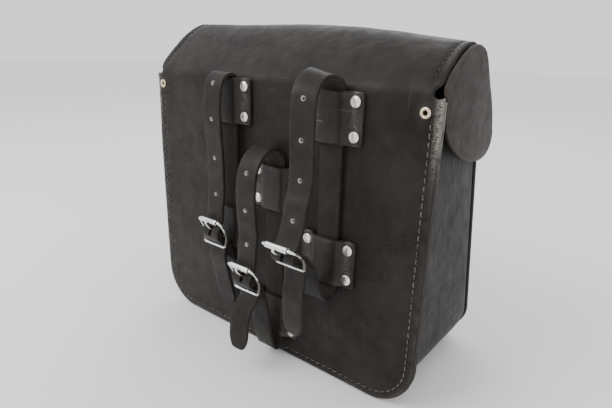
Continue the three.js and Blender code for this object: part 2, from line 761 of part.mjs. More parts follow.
const MATERIALS = {
  leather: { color: COLOURS.leather, roughness: 0.55, metalness: 0 },
  strap: { color: COLOURS.leatherEdge, roughness: 0.5, metalness: 0 },
  ear: { color: COLOURS.ear, roughness: 0.6, metalness: 0 },
  thread: { color: COLOURS.thread, roughness: 0.8, metalness: 0 },
  nickel: { color: COLOURS.nickel, roughness: 0.2, metalness: 1 },
  brass: { color: COLOURS.brass, roughness: 0.35, metalness: 1 },
};

const bag = new THREE.Group();
bag.position.set(0, ORIGIN_Y, 0);

function addPiece(name, geometry, look) {
  const mesh = new THREE.Mesh(geometry, new THREE.MeshStandardMaterial(MATERIALS[look]));
  mesh.name = name;
  bag.add(mesh);
  return mesh;
}

function addBody() {
  addPiece('back_panel', backPanel(), 'leather');
  addPiece('gusset', gusset(), 'leather');
  addPiece('front_panel', frontPanel(), 'leather');
  addPiece('back_seam_thread', backSeam(), 'thread');
  addPiece('front_seam_thread', frontSeam(), 'thread');
  addPiece('seam_rivet_left', seamRivet(-1), 'brass');
  addPiece('seam_rivet_right', seamRivet(1), 'brass');
}

function addLid() {
  addPiece('lid_flap', lidFlap(), 'leather');
  for (const [label, side] of [['left', -1], ['right', 1]]) {
    addPiece(`lid_ear_${label}`, ear(side), 'ear');
    addPiece(`ear_seam_thread_${label}`, earSeam(side), 'thread');
    addPiece(`closure_${label}_anchor`, closureAnchor(side), 'strap');
    addPiece(`closure_${label}_rivets`, closureRivetSet(side), 'nickel');
  }
}

function addBuckle(label, buckle, x, out) {
  placeOnBuckle(addPiece(`${label}_buckle_frame`, buckleFrame(), 'nickel'), buckle, x, out);
  placeOnBuckle(addPiece(`${label}_buckle_roller`, roller(), 'nickel'), buckle, x, out);
  placeOnBuckle(addPiece(`${label}_buckle_prong`, prong(), 'nickel'), buckle, x, out);
  placeOnBuckle(addPiece(`${label}_end_rivet`, endRivet(), 'nickel'), buckle, x, out);
}

function addMountingStraps() {
  for (const strap of MOUNTING_STRAPS) {
    for (const [place, z] of [['upper', strap.upperKeeperZ], ['lower', strap.lowerKeeperZ]]) {
      addPiece(`mount_${strap.name}_keeper_${place}`, keeper(strap, z), 'leather');
      addPiece(`mount_${strap.name}_keeper_rivets_${place}`, keeperRivetSet(strap, z), 'nickel');
    }
    addPiece(`mount_${strap.name}_strap`, mountingStrap(strap), 'strap');
    addBuckle(`mount_${strap.name}`, strap.buckle, strap.x, -1);
  }
}

function addClosures() {
  const buckle = closureBuckle();
  for (const [label, side] of [['left', -1], ['right', 1]]) {
    const x = side * CLOSURE.x;
    addPiece(`closure_${label}_strap`, closureStrap(side), 'strap');
    addPiece(`closure_${label}_tab`, closureTab(side), 'strap');
    addBuckle(`closure_${label}`, buckle, x, 1);
    placeOnBuckle(addPiece(`closure_${label}_stud_socket`, studSocket(), 'nickel'), buckle, x, 1);
    placeOnBuckle(addPiece(`closure_${label}_stud`, stud(), 'nickel'), buckle, x, 1);
  }
}

addBody();
addLid();
addMountingStraps();
addClosures();

export default bag;
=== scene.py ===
"""Leather motorcycle saddlebag, seen from its mounting back. Lengths are in millimetres from the middle of
the back panel's bottom edge, with y = 0 on its outer face, and place() turns them into the row frame."""

import math

import bpy
import numpy as np
from mathutils import Matrix, Vector
from mathutils import noise
from mathutils.geometry import delaunay_2d_cdt
from mathutils.kdtree import KDTree


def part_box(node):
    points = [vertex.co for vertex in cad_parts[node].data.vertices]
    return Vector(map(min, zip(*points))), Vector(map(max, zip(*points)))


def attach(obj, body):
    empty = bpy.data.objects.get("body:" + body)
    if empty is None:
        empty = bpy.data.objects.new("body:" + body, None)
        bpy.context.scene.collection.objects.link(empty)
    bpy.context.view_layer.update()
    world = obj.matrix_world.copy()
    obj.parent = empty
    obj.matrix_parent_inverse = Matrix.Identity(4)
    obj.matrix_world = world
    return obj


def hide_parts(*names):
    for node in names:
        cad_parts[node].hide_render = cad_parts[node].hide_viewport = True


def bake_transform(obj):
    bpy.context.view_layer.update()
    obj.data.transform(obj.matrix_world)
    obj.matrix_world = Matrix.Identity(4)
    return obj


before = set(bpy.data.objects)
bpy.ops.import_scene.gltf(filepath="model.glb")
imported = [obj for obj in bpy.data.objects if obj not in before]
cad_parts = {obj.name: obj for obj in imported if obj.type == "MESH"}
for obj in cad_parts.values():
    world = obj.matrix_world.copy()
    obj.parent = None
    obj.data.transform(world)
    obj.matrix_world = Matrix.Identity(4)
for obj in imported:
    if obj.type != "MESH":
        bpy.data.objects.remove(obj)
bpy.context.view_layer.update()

MM = 0.001
PANEL_LOW, PANEL_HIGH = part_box("back_panel")
ORIGIN = np.array([(PANEL_LOW.x + PANEL_HIGH.x) / 2, PANEL_LOW.y, PANEL_LOW.z])

# ---------------------------------------------------------------- sizes

GAP = 0.3
HALF_WIDTH = 150
CORNER = 40
FOLD_Z = 248.5
HIDE = 4
LID_HALF = 146
STITCH_PITCH, EAR_STITCH_PITCH = 6, 5.2
SEAM_TOP, GROOVE_TOP, GROOVE = 230, 228, (-1.3, 0, 1.3)

# Outer surface of the lid and flap in side view, [y, z], from the fold to the flap's lowest edge.
LID_PROFILE = [
    [0, 248.5], [4, 253.8], [10.5, 260], [19, 267.2], [28.5, 274.4], [38, 280.4], [47.5, 285], [56, 288],
    [63, 288.6], [69, 286.6], [75, 281.2], [82, 270], [90, 254], [97.5, 239], [103, 226.5], [105.5, 216],
    [106.3, 204], [107.3, 191], [109, 178], [112.5, 160], [116, 142], [120, 122],
]
FLAP_CORNER_Z, FLAP_DROP, FLAP_ROUNDNESS = 230, 105, 2.5

SEAM_INSET = 7.4
FRONT_SEAM_INSET = 14.5
EAR_SEAM_X = 139.5
GUSSET_INSET, GUSSET_LEATHER, GUSSET_TOP = 7.5, 3.5, 240
FRONT_INSET, FRONT_TOP, FRONT_Y, FRONT_SLOPE = 7.2, 236, 138, 0.21
SEAM_RIVET_X, SEAM_RIVET_Z = 138.6, 236

KEEPER_WIDTH, KEEPER_HEIGHT, KEEPER_LEATHER, KEEPER_RISE = 52, 39, 2.7, 4.4
KEEPER_RIVET_X, KEEPER_RIVET_Z = 19.7, 12.6
RIVET_HOLE, PUNCH_HOLE, SEAM_RIVET_HOLE = 1.7, 1.4, 2.7

STRAP_WIDTH, STRAP_LEATHER, STRAP_SKIVED, RUN_Y = 20, 3, 2.4, -2.3
ROLLER_V, BAR_N, LOWER_V, ARM_MIDDLE, WIRE = 15, -4, -10, 13.9, 1.35
PRONG_SLOT, EYE_SLOT_WIDTH = (4.4, 1.7), 1.9

# Buckle: y, z of its centre bar's level, its tilt in degrees, and how far the strap sags behind the roller.
STRAPS = {
    "left": {
        "x": -44, "keepers": {"upper": 228.6, "lower": 113},
        "buckle": (-26.2, 109.7, 13, 3.6),
        "tail": [[-17, 72], [-13.5, 55], [-10, 41], [-8.5, 34]],
        "run": [[-19.4, 146], [-18.8, 158], [-19, 172], [-19.8, 190], [-21, 205], [-21.6, 219], [-21.2, 231]],
        "top": [[-19.4, 241], [-16.2, 247], [-11.6, 250.3], [-6.8, 250.8], [-3.3, 249.4]],
        "back": (245.5, 91), "bottom": [[-3, 85], [-7, 82], [-10, 84.6]], "holes": [243, 214, 180, 147],
        "sway": [[30, 1.5, 3], [100, 0, 0], [170, 0, -2], [255, 0, 2]],
    },
    "centre": {
        "x": 11, "keepers": {"upper": 160.3, "lower": 41},
        "buckle": (-41.5, 87.4, 17, 4.5),
        "tail": [[-41, 55], [-44, 38], [-46, 23]],
        "run": [[-35.2, 126], [-36.8, 142], [-37.8, 157], [-37, 171], [-34, 183]],
        "top": [[-27.5, 191.5], [-18, 196.4], [-9.5, 194.5], [-4, 188]],
        "back": (181, 17),
        "bottom": [[-3.6, 12], [-8.5, 9.6], [-13, 13], [-16.5, 22], [-19.3, 36], [-21.8, 53]],
        "holes": [179, 149, 119],
        "sway": [[20, -3.5, 5], [45, -4.6, 3], [60, -3.8, 1], [76, 0, 0], [150, 0, 2], [200, 0, 0]],
    },
    "right": {
        "x": 67, "keepers": {"upper": 226, "lower": 112},
        "buckle": (-54.6, 129.6, 38, 16),
        "tail": [[-47, 96], [-46.5, 82], [-45, 63]],
        "run": [[-41.5, 176], [-39.2, 188], [-38.2, 200], [-37.4, 212], [-36.4, 224], [-35, 235]],
        "top": [[-32.5, 245], [-27, 252.5], [-19, 257], [-11, 256.8], [-5, 252.6]],
        "back": (247, 90),
        "bottom": [[-3.6, 84.5], [-8, 81.6], [-14, 82.5], [-19.5, 87.5], [-23.8, 95.5], [-27.2, 105]],
        "holes": [241, 213, 185, 157],
        "sway": [[60, 1, -7], [95, 1.8, -4], [120, 0, 0], [130, 0, 0], [160, 1.8, 2], [190, 1, 4],
                 [250, -3, 12]],
    },
}
CLOSURE_X, CLOSURE_STAND, CLOSURE_BUCKLE_Z = 75, 14, 95
CLOSURE_RIVETS_Z = (196, 164)
STUD_V, TAB_N = -38, -9.4

# Free edge of an ear in side view, [y, z], from its front corner down and round to the back.
EAR_EDGE = [
    [105, 211.5], [103.5, 205.5], [98, 199.2], [90, 195.2], [77, 193.6], [62, 195.2], [45, 199.5], [29, 207],
    [17.5, 216], [11.8, 225], [9.8, 234], [9.8, 241.5], [7, 246.5], [6.5, 251.5],
]
EAR_X, EAR_LEATHER = 146.3, 3

# The camera fitted to the photograph: its place, its turns in radians, and its lens on a 36 mm sensor.
CAMERA_PLACE = [275.069, -297.409, 277.060]
CAMERA_YAW, CAMERA_PITCH, CAMERA_ROLL = 0.664399, 0.319390, 0.026655
CAMERA_LENS, CAMERA_SENSOR = 28.645765, 36

# Extra height of the lid over its side-view profile, [y, height], at its middle and at both ends.
CROWN = [[0, 0], [8, 0.5], [20, 2.2], [45, 4.2], [72, 4.2], [88, 2.4], [108, 0]]
CROWN_LEFT = [[0, 0], [9, 0.6], [16, 1.5], [25, 2.2], [34, 3.9], [44, 4.4], [66, 4.8], [80, 4], [95, 1.2],
              [108, 0]]
CROWN_RIGHT = [[0, 0], [6, 1.2], [12, 2], [27, 1.2], [40, -1], [52, -5], [60, -8.6], [72, -11.5],
               [80, -10.5], [90, -5.5], [100, 0], [108, 0]]


def place(points):
    """Millimetres to metres in the row frame."""
    return np.asarray(points, float) * MM + ORIGIN


def smooth_step(low, high, value):
    t = np.clip((np.asarray(value, float) - low) / (high - low), 0, 1)
    return t * t * (3 - 2 * t)


def soft_noise(points, size, seed):
    """Smooth noise from -1 to 1 with features of about that size, the same on every run."""
    shift = Vector((seed * 17.3, seed * 5.1, seed * 9.7))
    return np.array([noise.noise(Vector(p) / size + shift) for p in np.asarray(points, float)])


def flat_spots(u, v, third=0.0):
    """Places on the flat leather as points for soft_noise()."""
    return np.column_stack([u, v, np.broadcast_to(third, np.shape(u))])


# ---------------------------------------------------------------- materials


class Nodes:
    """A short way to write a material's node tree."""

    def __init__(self, name):
        self.material = bpy.data.materials.new(name)
        self.material.use_nodes = True
        self.tree = self.material.node_tree
        self.shader = self.tree.nodes["Principled BSDF"]

    def add(self, kind, **inputs):
        node = self.tree.nodes.new(kind)
        for key, value in inputs.items():
            self.feed(node, key.replace("_", " "), value)
        return node

    def feed(self, node, key, value):
        socket = node.inputs[key]
        if isinstance(value, bpy.types.NodeSocket):
            self.tree.links.new(value, socket)
        else:
            socket.default_value = value

    def attribute(self, name, output):
        node = self.add("ShaderNodeAttribute")
        node.attribute_name = name
        return node.outputs[output]

    def noise(self, vector, scale, detail=3.0, roughness=0.55, distortion=0.0):
        node = self.add("ShaderNodeTexNoise", Scale=scale, Detail=detail, Roughness=roughness,
                        Distortion=distortion)
        self.feed(node, "Vector", vector)
        return node.outputs["Fac"]

    def cells(self, vector, scale):
        node = self.add("ShaderNodeTexVoronoi", Scale=scale)
        node.feature = "SMOOTH_F1"
        self.feed(node, "Vector", vector)
        self.feed(node, "Smoothness", 0.35)
        return node.outputs["Distance"]

    def math(self, operation, a, b):
        node = self.add("ShaderNodeMath")
        node.operation = operation
        self.feed(node, 0, a)
        self.feed(node, 1, b)
        return node.outputs[0]

    def times(self, a, b):
        return self.math("MULTIPLY", a, b)

    def plus(self, a, b):
        return self.math("ADD", a, b)

    def spread(self, value, low, high, to_low=0.0, to_high=1.0):
        node = self.add("ShaderNodeMapRange", Value=value)
        for key, number in (("From Min", low), ("From Max", high), ("To Min", to_low), ("To Max", to_high)):
            node.inputs[key].default_value = number
        return node.outputs["Result"]

    def mix(self, factor, a, b):
        node = self.add("ShaderNodeMix")
        node.data_type = "RGBA"
        self.feed(node, 0, factor)
        self.feed(node, 6, a)
        self.feed(node, 7, b)
        return node.outputs[2]

    def stretched(self, vector, scale):
        node = self.add("ShaderNodeMapping", Scale=scale)
        self.feed(node, "Vector", vector)
        return node.outputs["Vector"]

    def bump(self, height, distance, strength, below=None):
        node = self.add("ShaderNodeBump", Height=height, Distance=distance, Strength=strength)
        if below is not None:
            self.feed(node, "Normal", below)
        return node.outputs["Normal"]

    def finish(self, **sockets):
        for key, value in sockets.items():
            self.feed(self.shader, key.replace("_", " "), value)
        return self.material


def rgb(red, green, blue):
    return (red, green, blue, 1.0)


def leather(name, dark, light, worn_and_highlight, roughness, scratches, coat, grain=1.0, shine=0.17):
    """Finished grain side: fine pebble, pores, long scratches, blotches, and wear along the edges, with a
    pale speckle that is partly painted highlight on the hide's top edges and the gusset's flange.
    """
    n = Nodes(name)
    flat = n.attribute("flat", "Vector")
    edge = n.attribute("edge", "Fac")
    wear_and_painted_light = n.attribute("wear_and_painted_light", "Fac")
    blotch = n.noise(flat, 16, 4, 0.6, 0.6)
    mottle = n.noise(flat, 90, 3, 0.6)
    pores = n.noise(flat, 1500, 2, 0.7)
    pebble = n.cells(flat, 950)
    scratch = n.noise(n.stretched(flat, (40, 420, 40)), 1, 3, 0.7, 0.3)
    cross = n.noise(n.stretched(flat, (600, 30, 60)), 1, 2, 0.6, 0.5)
    marks = n.math("MAXIMUM", n.spread(scratch, 0.66, 0.74), n.spread(cross, 0.7, 0.78))
    patches = n.plus(n.times(blotch, 0.65), n.times(mottle, 0.35))
    tone = n.spread(patches, 0.34, 0.66)
    colour = n.mix(tone, dark, light)
    colour = n.mix(n.times(marks, scratches), colour, worn_and_highlight)
    # Pale rubbing along the edges, and a pale speckle where the wear attribute is set: real wear on the
    # keepers, partly painted highlight on the hide's top edges and the gusset's flange.
    rubbed_and_highlight = n.times(n.math("POWER", edge, 3.0), n.spread(mottle, 0.35, 0.7))
    specks = n.spread(n.noise(flat, 700, 3, 0.7), 0.36, 0.58)
    speckle = n.times(specks, n.spread(mottle, 0.25, 0.5))
    rubbed_and_highlight = n.math("MAXIMUM", n.times(rubbed_and_highlight, 0.2), n.times(wear_and_painted_light, speckle))
    colour = n.mix(rubbed_and_highlight, colour, worn_and_highlight)
    gloss = n.plus(n.times(blotch, 0.5), n.times(mottle, 0.5))
    gloss = n.spread(gloss, 0.35, 0.65, roughness + 0.09, roughness - 0.08)
    gloss = n.plus(gloss, n.times(wear_and_painted_light, 0.12))
    height = n.plus(n.times(pebble, 0.7 * grain), n.times(pores, 0.5 * grain))
    height = n.math("SUBTRACT", height, n.times(marks, 0.5))
    fine = n.bump(height, 0.00022, 0.5)
    normal = n.bump(n.noise(flat, 60, 3, 0.55, 0.4), 0.0022, 0.3, fine)
    return n.finish(Base_Color=colour, Roughness=gloss, Normal=normal, Specular_IOR_Level=shine,
                    Coat_Weight=coat, Coat_Roughness=0.3, Sheen_Weight=0.04)


def rough_leather(name, dark, light, roughness, scale, depth):
    """Flesh side, or a cut edge: fibrous and matt, without the finished grain."""
    n = Nodes(name)
    flat = n.attribute("flat", "Vector")
    wear_and_painted_light = n.attribute("wear_and_painted_light", "Fac")
    fibres = n.noise(flat, scale, 4, 0.7)
    patches = n.noise(flat, 70, 3, 0.6)
    tone = n.plus(n.times(fibres, 0.6), n.times(patches, 0.4))
    colour = n.mix(n.spread(tone, 0.35, 0.68), dark, light)
    # Lighter where the wear attribute is set; on the hide's top edges and the gusset's flange this is partly
    # a painted highlight.
    colour = n.mix(n.times(wear_and_painted_light, n.spread(patches, 0.3, 0.6)), colour, rgb(0.2, 0.185, 0.17))
    normal = n.bump(fibres, depth, 0.6)
    gloss = n.spread(patches, 0.3, 0.7, roughness - 0.08, roughness + 0.08)
    return n.finish(Base_Color=colour, Roughness=gloss, Normal=normal, Specular_IOR_Level=0.2,
                    Sheen_Weight=0.03, Sheen_Roughness=0.5)


def metal(name, clean, dull, roughness, tarnish):
    """Plated metal with a cloudy polish, fine scratches and darker tarnish in patches."""
    n = Nodes(name)
    flat = n.attribute("flat", "Vector")
    wear_and_painted_light = n.attribute("wear_and_painted_light", "Fac")
    cloud = n.noise(flat, 260, 3, 0.6)
    hair = n.noise(n.stretched(flat, (2600, 300, 900)), 1, 2, 0.6)
    colour = n.mix(n.times(n.spread(cloud, 0.48, 0.72), tarnish), clean, dull)
    gloss = n.plus(n.times(cloud, 0.7), n.times(hair, 0.3))
    gloss = n.spread(gloss, 0.3, 0.7, roughness - 0.06, roughness + 0.12)
    # Darker where the wear attribute is set: on the buckle frames that is painted shade and dark reflection
    # on the lower side arms.
    colour = n.mix(n.times(wear_and_painted_light, 0.9), colour, rgb(0.06, 0.054, 0.048))
    gloss = n.plus(gloss, n.times(wear_and_painted_light, 0.2))
    normal = n.bump(cloud, 0.0004, 0.25, n.bump(hair, 0.00005, 0.3))
    return n.finish(Base_Color=colour, Roughness=gloss, Normal=normal, Metallic=1.0)


def waxed_thread(name, dark, light):
    """Twisted thread: diagonal plies along its length, and wax that has picked up dirt."""
    n = Nodes(name)
    flat = n.attribute("flat", "Vector")
    ply = n.add("ShaderNodeTexWave", Scale=260.0, Distortion=0.6)
    ply.bands_direction = "DIAGONAL"
    n.feed(ply, "Vector", flat)
    dirt = n.noise(flat, 240, 3, 0.6)
    colour = n.mix(n.spread(dirt, 0.35, 0.65), dark, light)
    normal = n.bump(ply.outputs["Fac"], 0.0003, 0.6)
    gloss = n.spread(dirt, 0.3, 0.7, 0.5, 0.72)
    return n.finish(Base_Color=colour, Roughness=gloss, Normal=normal, Sheen_Weight=0.1)


HIDE_FACE = leather(
    "hide_leather", rgb(0.0065, 0.0052, 0.0044), rgb(0.019, 0.0155, 0.013), rgb(0.26, 0.235, 0.21), 0.5,
    scratches=0.12, coat=0.02)
STRAP_FACE = leather(
    "strap_leather", rgb(0.0065, 0.0054, 0.0047), rgb(0.017, 0.014, 0.012), rgb(0.07, 0.062, 0.055), 0.5,
    grain=0.8, scratches=0.2, coat=0.03)
KEEPER_FACE = leather(
    "keeper_leather", rgb(0.01, 0.0085, 0.0075), rgb(0.026, 0.022, 0.019), rgb(0.2, 0.185, 0.165), 0.4,
    grain=0.9, scratches=0.5, coat=0.1)
EAR_FACE = leather(
    "ear_leather", rgb(0.0115, 0.0055, 0.0052), rgb(0.018, 0.0094, 0.009), rgb(0.1, 0.085, 0.075), 0.5,
    grain=0.5, scratches=0.1, coat=0.0, shine=0.14)
# Painted shade: the gusset's leather is the hide's made darker, to hold down the light its side gets; its
# paler worn colour serves real wear and the painted highlight on the flange.
GUSSET_SHADED_FACE = leather(
    "gusset_leather_shaded", rgb(0.0055, 0.0045, 0.004), rgb(0.015, 0.0125, 0.011), rgb(0.3, 0.27, 0.24), 0.52,
    scratches=0.12, coat=0.0, shine=0.12)
FLESH = rough_leather(
    "leather_flesh_side", rgb(0.012, 0.0098, 0.0085), rgb(0.04, 0.033, 0.028), 0.85, 900, 0.0005)
CUT_EDGE = rough_leather(
    "leather_cut_edge", rgb(0.006, 0.005, 0.0045), rgb(0.03, 0.026, 0.022), 0.62, 1300, 0.0003)
EAR_EDGE_CUT = rough_leather(
    "ear_cut_edge", rgb(0.022, 0.016, 0.014), rgb(0.065, 0.052, 0.046), 0.6, 1300, 0.0003)
PUNCHED = rough_leather(
    "leather_punched_wall", rgb(0.42, 0.37, 0.32), rgb(0.62, 0.56, 0.5), 0.85, 1200, 0.0003)
NICKEL = metal("nickel_plate", rgb(0.86, 0.85, 0.83), rgb(0.5, 0.47, 0.43), 0.2, 0.4)
RIVET_NICKEL = metal("rivet_nickel", rgb(0.9, 0.87, 0.82), rgb(0.6, 0.55, 0.48), 0.34, 0.4)
STEEL = metal("backing_steel", rgb(0.5, 0.5, 0.5), rgb(0.25, 0.24, 0.22), 0.34, 0.7)
BRASS = metal("brassed_rivet", rgb(0.74, 0.63, 0.48), rgb(0.38, 0.28, 0.18), 0.26, 0.7)
SEAM_THREAD = waxed_thread("seam_thread", rgb(0.02, 0.0175, 0.015), rgb(0.12, 0.105, 0.092))
DARK_THREAD = waxed_thread("dark_thread", rgb(0.006, 0.0055, 0.005), rgb(0.02, 0.018, 0.016))
LEATHER_SET, STRAP_SET, KEEPER_SET, GUSSET_SHADED_SET = (
    [face, FLESH, CUT_EDGE, PUNCHED] for face in (HIDE_FACE, STRAP_FACE, KEEPER_FACE, GUSSET_SHADED_FACE))
EAR_SET = [EAR_FACE, FLESH, EAR_EDGE_CUT, PUNCHED]

# ---------------------------------------------------------------- mesh tools

HOLE_ROUNDING = 0.3
EDGE_REACH = 9  # how far from an edge its wear can reach
GRAIN_SLOT, FLESH_SLOT, CUT_SLOT, HOLE_SLOT = range(4)  # places in each set of leathers


def new_object(name, points, faces, materials, face_materials=None, values=None, sharp=50):
    """A mesh from points in millimetres, with its per-point attributes for the materials."""
    mesh = bpy.data.meshes.new(name)
    mesh.from_pydata(place(points).tolist(), [], [list(map(int, f)) for f in faces])
    for material in materials:
        mesh.materials.append(material)
    if face_materials is not None:
        mesh.polygons.foreach_set("material_index", np.asarray(face_materials, np.int32))
    values = dict(values or {})
    values.setdefault("flat", np.asarray(points, float) * MM)
    for key, data in values.items():
        kind, field = ("FLOAT_VECTOR", "vector") if np.ndim(data) == 2 else ("FLOAT", "value")
        layer = mesh.attributes.new(key, kind, "POINT")
        layer.data.foreach_set(field, np.asarray(data, np.float32).ravel())
    mesh.polygons.foreach_set("use_smooth", [True] * len(mesh.polygons))
    mesh.set_sharp_from_angle(angle=math.radians(sharp))
    mesh.update()
    piece = bpy.data.objects.new(name, mesh)
    bpy.context.scene.collection.objects.link(piece)
    return piece


def divided(starts, ends, step):
    """Points on the way from each start to its end, no further apart than step."""
    out = []
    for a, b in zip(starts, ends):
        count = max(1, math.ceil(np.linalg.norm(b - a) / step))
        out += [a + (b - a) * k / count for k in range(count)]
    return np.array(out)


def dense(loop, step):
    loop = np.asarray(loop, float)
    return divided(loop, np.roll(loop, -1, axis=0), step)


def dense_line(line, step):
    line = np.asarray(line, float)
    return np.concatenate([divided(line[:-1], line[1:], step), line[-1:]])


def inset_loop(loop, distance):
    """The loop moved to its left by distance."""
    before = loop - np.roll(loop, 1, axis=0)
    after = np.roll(loop, -1, axis=0) - loop
    sides = []
    for run in (before, after):
        run = run / np.maximum(np.linalg.norm(run, axis=1, keepdims=True), 1e-9)
        sides.append(np.stack([-run[:, 1], run[:, 0]], axis=1))
    normal = sides[0] + sides[1]
    length = np.maximum(np.linalg.norm(normal, axis=1, keepdims=True), 0.7)
    return loop + normal / length * distance * np.minimum(2 / length, 1.35)


def area_of(loop):
    x, y = loop[:, 0], loop[:, 1]
    return 0.5 * np.sum(x * np.roll(y, -1) - np.roll(x, -1) * y)


def inside(points, loop):
    """Which points lie inside a closed loop."""
    x, y = points[:, 0:1], points[:, 1:2]
    x0, y0 = loop[:, 0], loop[:, 1]
    x1, y1 = np.roll(x0, -1), np.roll(y0, -1)
    crosses = (y0 > y) != (y1 > y)
    level = np.where(y1 == y0, 1, y1 - y0)
    where = (x1 - x0) * (y - y0) / level + x0
    return (np.sum(crosses & (x < where), axis=1) % 2) == 1


def distance_to(points, targets):
    tree = KDTree(len(targets))
    for i, p in enumerate(targets):
        tree.insert((p[0], p[1], 0), i)
    tree.balance()
    return np.array([tree.find((p[0], p[1], 0))[2] for p in points])


def ring_steps(half, radius):
    """Rounded edge from the top face round to the bottom: (share of the way out, height)."""
    steps = []
    for degrees in (60, 30, 0):
        angle = math.radians(degrees)
        steps.append((math.cos(angle), half - radius + radius * math.sin(angle)))
    lower = [(out, -height) for out, height in reversed(steps)]
    if half - radius < 0.05:
        return steps + lower[1:]
    return steps + lower


def inside_cut(points, loops):
    """Which points lie inside the outline and outside every hole."""
    keep = inside(points, loops[0][1])
    for _, inner, _ in loops[1:]:
        keep &= ~inside(points, inner)
    return keep


def cut_loops(outline, holes, radius, edge_step):
    """For the outline and each hole: its rim, where its rounding begins, and the rounding's radius."""
    outer = dense(outline, edge_step)
    if area_of(outer) < 0:
        outer = outer[::-1]
    loops = [(outer, inset_loop(outer, radius), radius)]
    for hole in holes:
        ring = np.asarray(hole, float)
        if area_of(ring) > 0:
            ring = ring[::-1]
        loops.append((ring, inset_loop(ring, HOLE_ROUNDING), HOLE_ROUNDING))
    return loops


def flat_mesh(loops, creases, spacing):
    """Points and triangles inside the loops, and the place among the points of each point of the loops."""
    fixed, edges = [], []
    for _, inner, _ in loops:
        start, count = sum(map(len, fixed)), len(inner)
        fixed.append(inner)
        edges += [(start + k, start + (k + 1) % count) for k in range(count)]
    for line in creases:
        line = dense_line(line, spacing)
        start = sum(map(len, fixed))
        fixed.append(line)
        edges += [(start + k, start + k + 1) for k in range(len(line) - 1)]
    fixed_points = np.concatenate(fixed)

    low, high = loops[0][0].min(0), loops[0][0].max(0)
    rows = []
    for j, v in enumerate(np.arange(low[1], high[1], spacing * 0.87)):
        us = np.arange(low[0] + (j % 2) * spacing / 2, high[0], spacing)
        rows.append(np.stack([us, np.full_like(us, v)], axis=1))
    grid = np.concatenate(rows)
    grid = grid[inside_cut(grid, loops)]
    grid = grid[distance_to(grid, fixed_points) > spacing * 0.5]

    flat = [Vector(p) for p in np.concatenate([fixed_points, grid])]
    made = delaunay_2d_cdt(flat, edges, [], 0, 1e-5)
    points = np.array([tuple(p) for p in made[0]])
    home = {old: new for new, olds in enumerate(made[3]) for old in olds}
    triangles = np.array([f for f in made[2] if len(f) == 3])
    triangles = triangles[inside_cut(points[triangles].mean(axis=1), loops)]
    a, b, c = (points[triangles[:, k]] for k in range(3))
    turn = (b - a)[:, 0] * (c - a)[:, 1] - (b - a)[:, 1] * (c - a)[:, 0]
    triangles[turn < 0] = triangles[turn < 0][:, ::-1]
    return points, triangles, home


def ring_faces(first, second):
    """Quads between two rings of as many points."""
    count = len(first)
    return [[first[k], second[k], second[(k + 1) % count], first[(k + 1) % count]] for k in range(count)]


def surface_normals(surface, u, v):
    step = 0.3
    along = surface(u + step, v) - surface(u - step, v)
    across = surface(u, v + step) - surface(u, v - step)
    normal = np.cross(along, across)
    return normal / np.maximum(np.linalg.norm(normal, axis=1, keepdims=True), 1e-9)


def slab(name, outline, surface, thickness, middle, materials, holes=(), creases=(), *, spacing, radius,
         relief=None, taper=None, wear_and_painted_light=None, seed=0.0, edge_step=None, dark_holes=0):
    """A piece of leather cut from a flat outline, with rounded edges and punched holes, bent onto a surface.

    surface(u, v) gives points in space, taper(u, v) a share of the thickness, relief(u, v) extra height of
    the grain side, and middle the height of the leather's middle above the surface. The first dark_holes
    holes have walls like the outer edge.
    """
    loops = cut_loops(outline, holes, radius, edge_step or spacing * 0.75)
    points, triangles, home = flat_mesh(loops, creases, spacing)
    half = thickness / 2
    count = len(points)
    uv = [points, points]
    heights = [np.full(count, half), np.full(count, -half)]
    faces = [list(t) for t in triangles] + [list(t[::-1] + count) for t in triangles]
    looks = [GRAIN_SLOT] * len(triangles) + [FLESH_SLOT] * len(triangles)
    total = 2 * count
    offset = 0
    for index, (rim, inner, bend) in enumerate(loops):
        size = len(rim)
        top = np.array([home[offset + k] for k in range(size)])
        offset += size
        previous = top
        rings = []
        for out, height in ring_steps(half, bend):
            uv.append(inner + (rim - inner) * out)
            heights.append(np.full(size, height))
            rings.append(total + np.arange(size))
            total += size
        for ring in (*rings, top + count):
            faces += ring_faces(previous, ring)
            looks += [CUT_SLOT if index <= dark_holes else HOLE_SLOT] * size
            previous = ring
    uv = np.concatenate(uv)
    heights = np.concatenate(heights)

    u, v = uv[:, 0], uv[:, 1]
    normal = surface_normals(surface, u, v)
    lift = heights * (taper(u, v) if taper else 1.0) + middle
    if relief:
        lift = lift + np.where(heights > 0, relief(u, v) * np.clip(heights / half, 0, 1), 0)
    space = surface(u, v) + normal * lift[:, None]
    rims = np.concatenate([rim for rim, _, _ in loops])
    values = {
        "flat": np.column_stack([uv, heights]) * MM + seed,
        "edge": np.clip(1 - distance_to(uv, rims) / EDGE_REACH, 0, 1),
        "wear_and_painted_light": wear_and_painted_light(u, v, space) if wear_and_painted_light else np.zeros(len(uv)),
    }
    return new_object(name, space, faces, materials, looks, values)


